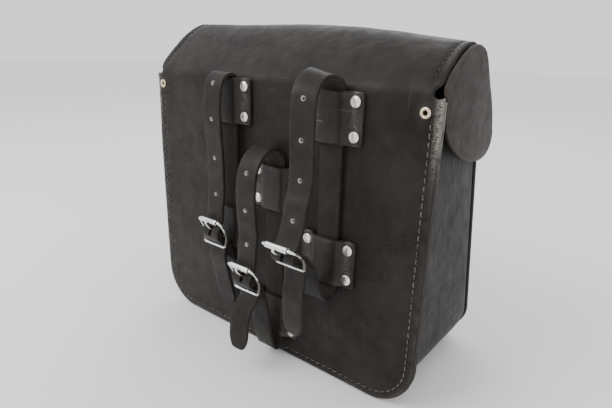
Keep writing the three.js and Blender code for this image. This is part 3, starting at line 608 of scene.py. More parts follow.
def tube(points, radii, sides, closed=False):
    """Points and faces of a round bar along a line, with a low cone on each open end."""
    points = np.asarray(points, float)
    count = len(points)
    radii = np.broadcast_to(radii, count)
    ahead = np.roll(points, -1, axis=0) - np.roll(points, 1, axis=0)
    if not closed:
        ahead[0], ahead[-1] = points[1] - points[0], points[-1] - points[-2]
    ahead /= np.linalg.norm(ahead, axis=1, keepdims=True)
    first = np.cross(ahead[0], [1.0, 0, 0])
    if np.linalg.norm(first) < 0.2:
        first = np.cross(ahead[0], [0, 0, 1.0])
    side = first / np.linalg.norm(first)
    out = []
    for k in range(count):
        side = side - ahead[k] * side.dot(ahead[k])
        side /= np.linalg.norm(side)
        other = np.cross(ahead[k], side)
        for j in range(sides):
            angle = 2 * math.pi * j / sides
            out.append(points[k] + radii[k] * (math.cos(angle) * side + math.sin(angle) * other))
    faces = []
    for k in range(count if closed else count - 1):
        a, b = k * sides, ((k + 1) % count) * sides
        faces += [[a + j, a + (j + 1) % sides, b + (j + 1) % sides, b + j] for j in range(sides)]
    if not closed:
        for ring, outwards in ((0, -1), (count - 1, 1)):
            centre = len(out)
            out.append(points[ring] + outwards * ahead[ring] * radii[ring] * 0.35)
            rim = [ring * sides + j for j in range(sides)]
            for j in range(sides):
                pair = [rim[j], rim[(j + 1) % sides]]
                faces.append([centre] + (pair[::-1] if outwards < 0 else pair))
    return np.array(out), faces


def turned(profile, segments):
    """Points and faces of a profile of (radius, out) turned about an axis that points to -y."""
    out, faces, rings = [], [], []
    for r, h in profile:
        if r < 1e-6:
            rings.append([len(out)])
            out.append([0, -h, 0])
            continue
        rings.append(list(range(len(out), len(out) + segments)))
        for j in range(segments):
            angle = 2 * math.pi * j / segments
            out.append([r * math.cos(angle), -h, r * math.sin(angle)])
    for a, b in zip(rings, rings[1:]):
        for j in range(segments):
            k = (j + 1) % segments
            if len(a) == 1:
                faces.append([a[0], b[k], b[j]])
            elif len(b) == 1:
                faces.append([a[j], a[k], b[0]])
            else:
                faces.append([a[j], a[k], b[k], b[j]])
    return np.array(out, float), faces


def outward(points, faces):
    """Turns every face round if the closed mesh is inside out."""
    points = np.asarray(points, float)
    volume = 0.0
    for f in faces:
        for k in range(1, len(f) - 1):
            volume += np.dot(points[f[0]], np.cross(points[f[k]], points[f[k + 1]]))
    return faces if volume > 0 else [f[::-1] for f in faces]


def gather(parts):
    """Several (points, faces) as one."""
    points, faces, start = [], [], 0
    for part_points, part_faces in parts:
        points.append(part_points)
        faces += [[start + i for i in f] for f in outward(part_points, part_faces)]
        start += len(part_points)
    return np.concatenate(points), faces


def turn_x(points, angle):
    points = np.asarray(points, float)
    c, s = math.cos(angle), math.sin(angle)
    x, y, z = points.T
    return np.stack([x, c * y - s * z, s * y + c * z], axis=1)


def arc_points(centre, radius, start, turn, count):
    """Points on an arc from the angle start through turn, count steps long."""
    angles = [start + turn * k / count for k in range(count + 1)]
    return [[centre[0] + radius * math.cos(a), centre[1] + radius * math.sin(a)] for a in angles]


def circle(centre, radius, count):
    return arc_points(centre, radius, 0, 2 * math.pi, count)[:-1]


def oval(v, half_length, radius):
    """A slot with round ends along the middle of a strap."""
    reach = half_length - radius
    ends = ((v + reach, 0), (v - reach, math.pi))
    return [point for end, start in ends for point in arc_points([0, end], radius, start, math.pi, 14)]


def rounded(corners, radii, steps=5):
    """A polygon with each corner rounded off by its radius."""
    out = []
    count = len(corners)
    for i, corner in enumerate(corners):
        corner = np.asarray(corner, float)
        back = np.asarray(corners[i - 1], float) - corner
        ahead = np.asarray(corners[(i + 1) % count], float) - corner
        reach = radii[i]
        a = corner + back / np.linalg.norm(back) * reach
        b = corner + ahead / np.linalg.norm(ahead) * reach
        for k in range(steps + 1):
            t = k / steps
            out.append((1 - t) ** 2 * a + 2 * t * (1 - t) * corner + t * t * b)
    return out


# ---------------------------------------------------------------- side-view lines


class Line:
    """A smooth side-view curve, read by its length from the start."""

    def __init__(self, points, smooth=0.0, step=0.5):
        points = np.asarray(points, float)
        points = dense_line(points, step) if smooth else points
        if smooth:
            reach = int(smooth / step * 3)
            kernel = np.exp(-0.5 * (np.arange(-reach, reach + 1) * step / smooth) ** 2)
            kernel /= kernel.sum()
            head = points[0] + (points[0] - points[1]) * np.arange(reach, 0, -1)[:, None]
            tail = points[-1] + (points[-1] - points[-2]) * np.arange(1, reach + 1)[:, None]
            padded = np.concatenate([head, points, tail])
            columns = [np.convolve(column, kernel, "valid") for column in padded.T]
            points = np.stack(columns, axis=1)
        self.points = points
        self.length = np.concatenate([[0], np.cumsum(np.linalg.norm(np.diff(points[:, :2], axis=0), axis=1))])

    def at(self, v):
        """Columns of the curve at lengths v, straight on past both ends."""
        v = np.asarray(v, float)
        out = []
        for k in range(self.points.shape[1]):
            column = np.interp(v, self.length, self.points[:, k])
            if k < 2:
                start = (self.points[1, k] - self.points[0, k]) / self.length[1]
                end = (self.points[-1, k] - self.points[-2, k]) / (self.length[-1] - self.length[-2])
                column = column + np.minimum(v, 0) * start + np.maximum(v - self.length[-1], 0) * end
            out.append(column)
        return out

    def nearest(self, point, start=0.0, end=1e9):
        gaps = np.linalg.norm(self.points[:, :2] - np.asarray(point, float), axis=1)
        gaps[(self.length < start) | (self.length > end)] = 1e9
        return self.length[int(np.argmin(gaps))]


def spline(points, per_span):
    """Centripetal Catmull-Rom curve through points of any dimension."""
    points = [np.asarray(p, float) for p in points]
    points = [2 * points[0] - points[1]] + points + [2 * points[-1] - points[-2]]
    out = []
    for i in range(1, len(points) - 2):
        p = points[i - 1:i + 3]
        t = [0.0]
        for a, b in zip(p, p[1:]):
            t.append(t[-1] + max(np.linalg.norm((b - a)[:2]), 1e-4) ** 0.5)
        for k in range(per_span):
            s = t[1] + (t[2] - t[1]) * k / per_span
            a = [((t[j + 1] - s) * p[j] + (s - t[j]) * p[j + 1]) / (t[j + 1] - t[j]) for j in range(3)]
            b = [((t[j + 2] - s) * a[j] + (s - t[j]) * a[j + 1]) / (t[j + 2] - t[j]) for j in range(2)]
            out.append(((t[2] - s) * b[0] + (s - t[1]) * b[1]) / (t[2] - t[1]))
    return np.array(out + [points[-2]])


def buckle_point(buckle, v, n, out):
    y, z, tilt, _ = buckle
    c, s = math.cos(math.radians(tilt)), math.sin(math.radians(tilt))
    return [y + out * (v * s + n * c), z + v * c - n * s]


def threaded_run(buckle, out):
    s = buckle[3]
    local = [
        [24, -4.8 - s * 1.6], [15, -4.3 - s], [9, -1.9 - s * 0.6], [3.5, 1.2], [0, 1.95],
        [-4, 0.5], [-10, -3.8], [-16, -3.5 + s * 0.12], [-22, -2.1 + s * 0.35],
    ]
    return [[*buckle_point(buckle, v, n, out), STRAP_LEATHER] for v, n in local]


def wrapped_end(buckle, out):
    around = arc_points([0, BAR_N], -BAR_N - 1.1, -math.pi / 2, math.radians(210), 7)
    local = [
        [-24, -10.2], [-16, -9.9], [-10, -9.5], [-5, -8], *around,
        [-4.6, -4], [-8, -6.1], [-11, -6.9], [-16, -7.15], [-25, -7.4],
    ]
    return [[*buckle_point(buckle, v, n, out), STRAP_SKIVED] for v, n in local]


HIDE_LINE = Line([[0, 0]] + LID_PROFILE, smooth=4.5)
FOLD_V = FOLD_Z
LID_START = HIDE_LINE.nearest([6, 256])
RIDGE_V = HIDE_LINE.nearest([63, 288.6])


def flap_length_at(z):
    """Length along the hide where the flap comes down to height z."""
    part = HIDE_LINE.length > RIDGE_V
    return float(np.interp(-z, -HIDE_LINE.points[part, 1], HIDE_LINE.length[part]))


# ---------------------------------------------------------------- the hide: back panel, lid and flap


def edge_inset(x, z):
    """Distance inside the back panel's outline."""
    x, z = np.abs(np.asarray(x, float)), np.asarray(z, float)
    straight = np.minimum(HALF_WIDTH - x, np.maximum(z, -1))
    corner = CORNER - np.hypot(x - (HALF_WIDTH - CORNER), CORNER - z)
    beside = np.where(z > CORNER, HALF_WIDTH - x, straight)
    return np.where((x > HALF_WIDTH - CORNER) & (z < CORNER), corner, beside)


def margin_curl(x, z):
    """How far the margin outside the stitches bends back, most near the top of each side."""
    strength = 0.7 + 1.1 * smooth_step(170, 236, z)
    outside = np.clip((SEAM_INSET + 1 - edge_inset(x, z)) / SEAM_INSET, 0, 1.2)
    return strength * outside ** 2


def crown_at(x, y):
    """How far the lid stands above its even profile: swollen on the left, flatter towards the right end."""
    tables = (CROWN, CROWN_LEFT, CROWN_RIGHT)
    middle, left, right = (np.interp(y, *np.array(table, float).T) for table in tables)
    share = np.where(x < -22, (-22 - x) / 124, (x + 22) / 168) ** 2
    return middle + share * (np.where(x < -22, left, right) - middle)


def hide_surface(u, v):
    y, z = HIDE_LINE.at(v)
    on_panel = 1 - smooth_step(FOLD_V - 10, FOLD_V + 2, v)
    on_top = smooth_step(FOLD_V + 8, RIDGE_V - 22, v) * (1 - smooth_step(RIDGE_V + 12, RIDGE_V + 62, v))
    crown = crown_at(u, y) * (v > FOLD_V)
    spots = flat_spots(u, v)
    dents = 0.45 * soft_noise(spots, 70, 1) + 0.22 * soft_noise(spots, 26, 2)
    lid_waves = 0.9 * soft_noise(spots, 60, 3) + 0.35 * soft_noise(spots, 22, 4)
    lid_waves = lid_waves * smooth_step(FOLD_V, FOLD_V + 25, v)
    y = y + on_panel * (np.maximum(dents + 0.1, 0) + margin_curl(u, v))
    z = z + crown + lid_waves * on_top
    y = y + lid_waves * smooth_step(RIDGE_V + 12, RIDGE_V + 50, v)
    return np.column_stack([u, y, z])


def hide_relief(u, v):
    """Grooves pressed under the stitches."""
    seam = np.exp(-(edge_inset(u, v) - SEAM_INSET) ** 2) * (1 - smooth_step(226, 232, v))
    ear = np.exp(-(np.abs(u) - EAR_SEAM_X) ** 2)
    ear = ear * smooth_step(LID_START - 6, LID_START, v) * (1 - smooth_step(RIDGE_V + 4, RIDGE_V + 12, v))
    return -0.55 * seam - 0.9 * ear


# Pale along the back panel's edges from z 178 up to just past the fold: partly real edge wear, partly painted
# highlight where the curled margin catches light from the upper right.
def hide_wear_and_highlight(u, v, _space):
    top = smooth_step(178, 232, v) * (1 - smooth_step(252, 258, v))
    return np.clip(1.2 * top, 0, 1) * (1 - smooth_step(2.0, 6.5, edge_inset(u, np.minimum(v, FOLD_V))))


def seam_path(inset, top):
    """The seam line around the back panel, from the left end down and round to the right one."""
    centre = HALF_WIDTH - CORNER
    left = arc_points([-centre, CORNER], CORNER - inset, math.pi, math.pi / 2, 12)
    right = arc_points([centre, CORNER], CORNER - inset, 1.5 * math.pi, math.pi / 2, 12)
    return [[inset - HALF_WIDTH, top], *left, *right, [HALF_WIDTH - inset, top]]


def hide_outline():
    """Right half from the bottom up to the flap's lowest point, then the left half back down."""
    half = arc_points([HALF_WIDTH - CORNER, CORNER], CORNER, 1.5 * math.pi, math.pi / 2, 12)[1:]
    half += [
        [HALF_WIDTH, 236], [HALF_WIDTH, 244.8], [149, 245.6], [147.4, 245], [145.6, 244.9], [143.6, 245.8],
        [142.1, 247.3], [141.6, 249.4], [142, 251.6], [143.2, 253.4], [144.7, 254.8], [145.7, 256.8],
        [LID_HALF, 260],
    ]
    half.append([LID_HALF, flap_length_at(FLAP_CORNER_Z)])
    for k in range(1, 25):
        angle = math.pi / 2 * k / 24
        power = 2 / FLAP_ROUNDNESS
        x = LID_HALF * math.cos(angle) ** power if k < 24 else 0.0
        z = FLAP_CORNER_Z - FLAP_DROP * math.sin(angle) ** power
        half.append([x, flap_length_at(z)])
    left = [[-x, v] for x, v in reversed(half[:-1])]
    return half + left


def keeper_rivet_places(strap, z):
    return [[strap["x"] + sx * KEEPER_RIVET_X, z + sz * KEEPER_RIVET_Z] for sx in (-1, 1) for sz in (-1, 1)]


def make_hide():
    holes = []
    for strap in STRAPS.values():
        for z in strap["keepers"].values():
            holes += [circle(p, RIVET_HOLE, 12) for p in keeper_rivet_places(strap, z)]
    for side in (-1, 1):
        holes.append(circle([side * SEAM_RIVET_X, SEAM_RIVET_Z], SEAM_RIVET_HOLE, 16))
        holes += [circle([side * CLOSURE_X, flap_length_at(z)], RIVET_HOLE, 12) for z in CLOSURE_RIVETS_Z]
    creases = [seam_path(SEAM_INSET + d, GROOVE_TOP) for d in GROOVE]
    for side in (-1, 1):
        lines = [side * (EAR_SEAM_X + d) for d in GROOVE]
        creases += [[[x, LID_START - 4], [x, RIDGE_V + 8]] for x in lines]
    creases += [[[-139, v], [139, v]] for v in (FOLD_V - 4, FOLD_V - 1.5, FOLD_V + 1, FOLD_V + 3.5)]
    hide = slab("hide_back_lid_and_flap", hide_outline(), hide_surface, HIDE, -HIDE / 2, LEATHER_SET, holes,
                creases, spacing=4.2, radius=1.3, relief=hide_relief, wear_and_painted_light=hide_wear_and_highlight, edge_step=2.4)
    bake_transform(hide)
    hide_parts("back_panel", "lid_flap")


# ---------------------------------------------------------------- gusset and front panel

WALL_D = GUSSET_INSET + GUSSET_LEATHER / 2
FLANGE_Y = HIDE + GAP + 1.5
BEND = 3.4
GUSSET_FRONT_NOMINAL = 132.0


def gusset_station(u):
    """Position and outward direction on the wall's U-shaped path, from the right top round to the left."""
    u = np.asarray(u, float)
    radius = CORNER - WALL_D
    side = GUSSET_TOP - CORNER
    arc = radius * math.pi / 2
    flat_length = 2 * (HALF_WIDTH - CORNER)
    x, z = np.empty_like(u), np.empty_like(u)
    nx, nz = np.empty_like(u), np.empty_like(u)
    ends = np.cumsum([side, arc, flat_length, arc])
    edge = HALF_WIDTH - WALL_D
    centre = HALF_WIDTH - CORNER
    first = u < ends[0]
    x[first], z[first], nx[first], nz[first] = edge, GUSSET_TOP - u[first], 1, 0
    part = (u >= ends[1]) & (u < ends[2])
    x[part], z[part], nx[part], nz[part] = centre - (u[part] - ends[1]), WALL_D, 0, -1
    for k, middle, first_angle in ((0, centre, 0), (2, -centre, -math.pi / 2)):
        part = (u >= ends[k]) & (u < ends[k + 1])
        angle = first_angle - (u[part] - ends[k]) / radius
        nx[part], nz[part] = np.cos(angle), np.sin(angle)
        x[part], z[part] = middle + radius * nx[part], CORNER + radius * nz[part]
    last = u >= ends[3]
    x[last], z[last], nx[last], nz[last] = -edge, CORNER + u[last] - ends[3], -1, 0
    return x, z, nx, nz


GUSSET_LENGTH = 2 * (GUSSET_TOP - CORNER) + math.pi * (CORNER - WALL_D) + 2 * (HALF_WIDTH - CORNER)
ARC = BEND * math.pi / 2
FLANGE_LENGTH = WALL_D - BEND - 0.8
FRONT_FLANGE = 19 - WALL_D - BEND
WALL_LENGTH = GUSSET_FRONT_NOMINAL - FLANGE_Y - 2 * BEND
SECTION_MARKS = np.cumsum([0, FLANGE_LENGTH, ARC, WALL_LENGTH, ARC, FRONT_FLANGE])


def gusset_surface(u, v):
    x, z, nx, nz = gusset_station(u)
    front = FRONT_Y - FRONT_SLOPE * z - 4.3 - 1.7
    stretch = (front - FLANGE_Y - 2 * BEND) / WALL_LENGTH
    m = SECTION_MARKS
    turn = (v - m[1]) / BEND
    turn2 = (v - m[3]) / BEND
    d = np.select(
        [v < m[1], v < m[2], v < m[3], v < m[4]],
        [0.8 + v, WALL_D - BEND + BEND * np.sin(turn), np.full_like(v, WALL_D),
         WALL_D + BEND * (1 - np.cos(turn2))],
        WALL_D + BEND + (v - m[4]),
    )
    y = np.select(
        [v < m[1], v < m[2], v < m[3], v < m[4]],
        [np.full_like(v, FLANGE_Y), FLANGE_Y + BEND * (1 - np.cos(turn)),
         FLANGE_Y + BEND + (v - m[2]) * stretch, front - BEND + BEND * np.sin(turn2)],
        front,
    )
    y = y + np.where(v < m[2], margin_curl(HALF_WIDTH - d, z), 0)
    middle = np.clip((v - m[2]) / WALL_LENGTH, 0, 1)
    spots = flat_spots(u, v)
    belly = np.sin(math.pi * middle) ** 0.8
    d = d - belly * (soft_noise(spots, 75, 5) + 0.5 * soft_noise(spots, 30, 6) + 0.5)
    return np.column_stack([x + nx * (WALL_D - d), y, z + nz * (WALL_D - d)])


# Pale on the back flange near both top ends, partly real wear and partly painted highlight where the flange
# catches the side light; and a faint painted highlight on the wall round the lower corners, lit from below.
def gusset_wear_and_highlight(u, v, _space):
    side = np.minimum(u, GUSSET_LENGTH - u)
    near_top = 1.3 * (1 - smooth_step(10, 60, side))
    on_flange = 1 - smooth_step(SECTION_MARKS[1], SECTION_MARKS[2] + 3, v)
    lower = smooth_step(170, 215, side) * (1 - smooth_step(235, 275, side))
    lower = lower * smooth_step(SECTION_MARKS[2], 90, v)
    return np.clip(near_top * on_flange + 0.05 * lower, 0, 1)


def make_gusset():
    end = SECTION_MARKS[-1]
    outline = [
        [-3, 0], [GUSSET_LENGTH + 3, 0], [GUSSET_LENGTH + 3, 7], [GUSSET_LENGTH, 14],
        [GUSSET_LENGTH, SECTION_MARKS[3]], [GUSSET_LENGTH - 7, end], [7, end], [0, SECTION_MARKS[3]], [0, 14],
        [-3, 7],
    ]
    creases = []
    for start in (SECTION_MARKS[1], SECTION_MARKS[3]):
        creases += [[[9, start + ARC * k / 4], [GUSSET_LENGTH - 9, start + ARC * k / 4]] for k in range(5)]
    gusset = slab("gusset_leather_shaded", outline, gusset_surface, GUSSET_LEATHER, 0, GUSSET_SHADED_SET, (), creases,
                  spacing=5.0, radius=1.2, wear_and_painted_light=gusset_wear_and_highlight, seed=1.3, edge_step=2.4)
    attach(gusset, "bag")
    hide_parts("gusset")


def front_surface(u, v):
    spots = flat_spots(u, v)
    near = np.minimum(edge_inset(u, v) - FRONT_INSET, 60) / 60
    calm = smooth_step(14, 42, np.hypot(np.abs(u) - CLOSURE_X, v - 55))
    bulge = calm * np.clip(near, 0, 1) * (0.8 + 0.9 * soft_noise(spots, 65, 7))
    bulge = bulge - 0.25 * np.abs(soft_noise(spots, 24, 8))
    return np.column_stack([-u, FRONT_Y - FRONT_SLOPE * v + np.where(near > 0.12, bulge, 0), v])


def front_relief(u, v):
    return -0.5 * np.exp(-(edge_inset(u, v) - FRONT_SEAM_INSET) ** 2) * (1 - smooth_step(226, 232, v))


def make_front_panel():
    creases = [seam_path(FRONT_SEAM_INSET + d, GROOVE_TOP) for d in GROOVE]
    panel = slab("front_panel_leather", seam_path(FRONT_INSET, FRONT_TOP), front_surface, HIDE, -HIDE / 2,
                 LEATHER_SET, (), creases, spacing=5.0, radius=1.3, relief=front_relief, seed=2.1,
                 edge_step=2.6)
    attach(panel, "bag")
    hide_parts("front_panel")


# ---------------------------------------------------------------- ears


def ear_outline():
    """The ear's shape in side view; its top follows the lid a little below its outer surface."""
    top = [[y, z] for y, z in LID_PROFILE if 8 < y < 105]
    hang = []
    for i, (y, z) in enumerate(top):
        before, after = top[max(i - 1, 0)], top[min(i + 1, len(top) - 1)]
        run = np.array([after[0] - before[0], after[1] - before[1]], float)
        run /= np.linalg.norm(run)
        hang.append([y + run[1] * 2.2, z - run[0] * 2.2])
    return spline(EAR_EDGE, 4).tolist() + hang


def make_ear(label, side):
    def surface(u, v):
        y = u * side
        z = v + crown_at(side * LID_HALF, y) * smooth_step(222, 262, v)
        spots = flat_spots(u, v)
        flare = 1.6 * smooth_step(0, 1, (240 - v) / 46) ** 2 + 0.5 * soft_noise(spots, 40, 11 + side)
        cup = 0.9 * np.cos((y - 57) / 46 * math.pi / 2)
        return np.column_stack([side * (EAR_X + EAR_LEATHER / 2 + np.maximum(flare, -0.2) + cup), y, z])

    outline = [[side * y, z] for y, z in ear_outline()]
    ear = slab(f"ear_{label}", outline, surface, EAR_LEATHER, 0, EAR_SET, spacing=4.0, radius=1.0,
               seed=3.0 + side, edge_step=2.2)
    tab_line = Line(LID_PROFILE[2:8], smooth=2)
    tab_end = tab_line.length[-1]

    def tab_surface(u, v):
        y, z = tab_line.at(v)
        under = HIDE + GAP + EAR_LEATHER / 2
        ahead = np.array(tab_line.at(v + 1)) - np.array(tab_line.at(v - 1))
        ahead /= np.linalg.norm(ahead, axis=0)
        y2, z2 = y + ahead[1] * under, z - ahead[0] * under
        return np.column_stack([u, y2, z2 + crown_at(u, y)])

    low, high = (LID_HALF - 12, EAR_X + 1.5) if side > 0 else (-EAR_X - 1.5, -LID_HALF + 12)
    tab = slab(f"ear_tab_{label}", [[low, 0], [high, 0], [high, tab_end], [low, tab_end]], tab_surface,
               EAR_LEATHER - 0.6, 0, EAR_SET, spacing=4.0, radius=0.9, seed=5.0 + side)
    for piece in (ear, tab):
        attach(piece, "lid")
    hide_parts(f"lid_ear_{label}")


# ---------------------------------------------------------------- seams


def stitched(name, path, surface, pitch, radius, material, body, node, stand):
    """One thread that comes up through each hole, lies over the leather and goes back down."""
    line = Line(dense_line(path, 1.0))
    total = line.length[-1]
    count = max(1, round(total / pitch))
    length = total / count
    shares = [0.0, 0.2, 0.32, 0.5, 0.68, 0.8]
    heights = [-1.9, -0.7, 0.25, 0.5, 0.25, -0.7]
    where, lift, slant = [], [], []
    for k in range(count):
        for share, height in zip(shares, heights):
            where.append((k + share) * length)
            lift.append(height + stand)
            slant.append((share - 0.5) * 0.7 if share > 0 else 0.0)
    where.append(total)
    lift.append(-1.6)
    slant.append(0)
    where, lift, slant = map(np.array, (where, lift, slant))
    u, v = line.at(where)
    u2, v2 = line.at(where + 0.5)
    run = np.stack([u2 - u, v2 - v], axis=1)
    run /= np.linalg.norm(run, axis=1, keepdims=True)
    u, v = u - run[:, 1] * slant, v + run[:, 0] * slant
    space = surface(u, v) + surface_normals(surface, u, v) * lift[:, None]
    thickness = np.array([radius * 0.75] + [radius] * (len(where) - 2) + [radius * 0.75])
    points, faces = tube(space, thickness, 8)
    along = np.repeat(where, 8)
    along = np.concatenate([along, [0, total]])[:len(points)]
    spin = np.tile(np.arange(8), len(where)) / 8 * 3.0
    spin = np.concatenate([spin, [0, 0]])[:len(points)]
    flat = np.column_stack([along, spin, np.zeros(len(points))]) * MM
    thread = new_object(name, points, outward(points, faces), [material], None, {"flat": flat}, sharp=80)
    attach(thread, body)
    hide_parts(node)


def make_seams():
    stitched("back_seam_stitches", seam_path(SEAM_INSET, SEAM_TOP), hide_surface, STITCH_PITCH, 0.5,
             SEAM_THREAD, "bag", "back_seam_thread", stand=-0.2)
    stitched("front_seam_stitches", seam_path(FRONT_SEAM_INSET, SEAM_TOP), front_surface, STITCH_PITCH, 0.5,
             SEAM_THREAD, "bag", "front_seam_thread", stand=-0.2)
    for label, side in (("left", -1), ("right", 1)):
        path = [[side * EAR_SEAM_X, LID_START], [side * EAR_SEAM_X, RIDGE_V - 2]]
        stitched(f"ear_seam_stitches_{label}", path, hide_surface, EAR_STITCH_PITCH, 0.45, DARK_THREAD, "lid",
                 f"ear_seam_thread_{label}", stand=-0.55)


# ---------------------------------------------------------------- keepers and rivets


def keeper_height(x):
    return KEEPER_RISE * (1 - smooth_step(9, 17.5, np.abs(x)))


def keeper_wear(u, v, space):
    """Rubbed pale around the rivets and along the crests beside the tunnel."""
    spots = flat_spots(u, v, 0.1 * space[:, 0])
    column = np.exp(-((np.abs(u) - KEEPER_RIVET_X) / 4.0) ** 2)
    return np.clip(0.75 * column * (0.55 + 0.45 * soft_noise(spots, 5, 31)), 0, 1)


def make_keeper(name, strap, z, seed):
    def surface(u, v):
        spots = flat_spots(u, v, seed)
        rise = keeper_height(u) + 0.35 * np.maximum(soft_noise(spots, 14, 20 + seed), -0.3) * (np.abs(u) < 15)
        corner = np.clip((np.abs(u) - 20) / 6, 0, 1) * np.clip((np.abs(v) - 14) / 6, 0, 1)
        return np.column_stack([strap["x"] + u, -GAP - rise - 0.5 * corner, z + v])

    w, h = KEEPER_WIDTH / 2, KEEPER_HEIGHT / 2
    outline = rounded([[-w, -h], [w, -h], [w, h], [-w, h]], [2.2, 2.2, 2.2, 2.2], 4)
    holes = [circle(p, RIVET_HOLE, 12) for p in keeper_rivet_places({"x": 0}, 0)]
    keeper = slab(f"{name}_leather", outline, surface, KEEPER_LEATHER, KEEPER_LEATHER / 2, KEEPER_SET, holes,
                  spacing=2.2, radius=0.8, seed=0.4 * seed, edge_step=1.6, wear_and_painted_light=keeper_wear)
    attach(keeper, "bag")
    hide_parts(name)


def dome(radius, base, rise):
    """Profile points from above a rim of that radius to the top on the axis."""
    angles = [math.pi / 2 * k / 7 for k in range(1, 7)]
    return [(radius * math.cos(a), base + rise * math.sin(a)) for a in angles] + [(0, base + rise)]


def domed_rivet(grip, head=4.4, height=2.0, shank=1.3):
    """A domed head with a rolled rim at y = 0, facing -y, on a shank of length grip."""
    rim = 0.45
    profile = [(0, -grip), (shank, -grip), (shank, 0.05), (head - 0.35, 0.05), (head - 0.08, 0.2),
               (head, rim)]
    return turned(profile + dome(head, rim, height - rim), 26)


def hammered(points, seed):
    """Small flats left by the setting tool on a rivet's head."""
    knock = soft_noise(points, 1.9, seed)
    front = points[:, 1] < -0.6
    points = points.copy()
    points[front, 1] += 0.07 * np.maximum(knock[front], 0)
    return points


def make_keeper_rivets(name, strap, z, seed):
    face = -2 * GAP - KEEPER_LEATHER
    inner = HIDE + GAP
    parts = []
    for k, (x, height) in enumerate(keeper_rivet_places(strap, z)):
        points, faces = domed_rivet(inner - face + 0.5)
        points = hammered(points, seed + k)
        parts.append((points + [x, face, height], faces))
    w, h = KEEPER_RIVET_X + 4, KEEPER_RIVET_Z + 4
    parts.append(plate(rounded([[-w, -h], [w, -h], [w, h], [-w, h]], [3, 3, 3, 3]), strap["x"], z, inner))
    points, faces = gather(parts)
    looks = [0 if points[f[0]][1] < inner - 0.1 else 1 for f in faces]
    piece = new_object(f"{name}_domed", points, faces, [RIVET_NICKEL, STEEL], looks, sharp=35)
    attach(piece, "bag")
    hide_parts(name)


def plate(outline, x, z, y):
    """A thin flat plate with bevelled edges, parallel to the back panel."""
    thickness, bevel = 1.0, 0.25
    outline = dense(outline, 3.0)
    small = inset_loop(outline, bevel)
    count = len(outline)
    rings = []
    for loop, depth in ((small, 0), (outline, bevel), (outline, thickness - bevel), (small, thickness)):
        rings.append(np.column_stack([loop[:, 0] + x, np.full(count, y + depth), loop[:, 1] + z]))
    faces = []
    for k in range(3):
        faces += ring_faces(range((k + 1) * count, (k + 2) * count), range(k * count, (k + 1) * count))
    faces.append(list(range(count))[::-1])
    faces.append(list(range(3 * count, 4 * count)))
    return np.concatenate(rings), faces


def make_seam_rivet(label, side):
    """A tubular rivet: a rolled brass rim round an open bore."""
    grip = HIDE + 2 * GAP
    profile = [(1.55, -grip - 0.8), (3.5, -grip - 0.8), (3.6, -grip - 0.4), (2.3, -grip), (2.3, -0.05),
               (3.8, 0.0)]
    for k in range(9):
        angle = -math.pi / 5 + math.pi * 1.15 * k / 8
        profile.append((2.85 + 1.15 * math.cos(angle), 0.45 + 0.95 * math.sin(angle)))
    profile += [(1.6, 0.1), (1.55, -grip - 0.8)]
    points, faces = turned(profile, 30)
    y = margin_curl(SEAM_RIVET_X, SEAM_RIVET_Z) - GAP
    points = points + [side * SEAM_RIVET_X, float(y), SEAM_RIVET_Z]
    piece = new_object(f"tubular_rivet_{label}", points, outward(points, faces), [BRASS], sharp=60)
    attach(piece, "bag")
    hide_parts(f"seam_rivet_{label}")


# ---------------------------------------------------------------- straps


def key_values(table, z):
    table = np.asarray(table, float)
    return [np.interp(z, table[:, 0], table[:, k]) for k in (1, 2)]


def strap_surface(line, x, sway=None, last_v=1e9):
    """A band across x that follows a side-view line, with a little drift and twist of its own."""
    def surface(u, v):
        y, z = line.at(v)[:2]
        ahead = np.array(line.at(v + 0.4)[:2]) - np.array(line.at(v - 0.4)[:2])
        ahead /= np.maximum(np.linalg.norm(ahead, axis=0), 1e-9)
        left = np.stack([-ahead[1], ahead[0]])
        drift, roll = (0.0, 0.0) if sway is None else key_values(sway, z)
        front = 1 - smooth_step(last_v - 12, last_v, v)
        drift, roll = drift * front, np.radians(roll) * front
        return np.column_stack([
            x + drift + u * np.cos(roll),
            y - u * np.sin(roll) * left[0],
            z - u * np.sin(roll) * left[1],
        ])
    return surface


def prong_place(line, buckle, out, end=1e9):
    """How far along a strap the prong passes through it."""
    return line.nearest(buckle_point(buckle, 4.6, 0.2, out), 0, end)


def eye_slot(line, buckle, out, start=0.0):
    """The slot for the prong's eye in a wrapped end."""
    slot_start = line.nearest(buckle_point(buckle, -5, -8, out), start)
    slot_end = line.nearest(buckle_point(buckle, -4.6, -4, out), slot_start + 8)
    return oval((slot_start + slot_end) / 2, (slot_end - slot_start) / 2 + 1.2, EYE_SLOT_WIDTH)


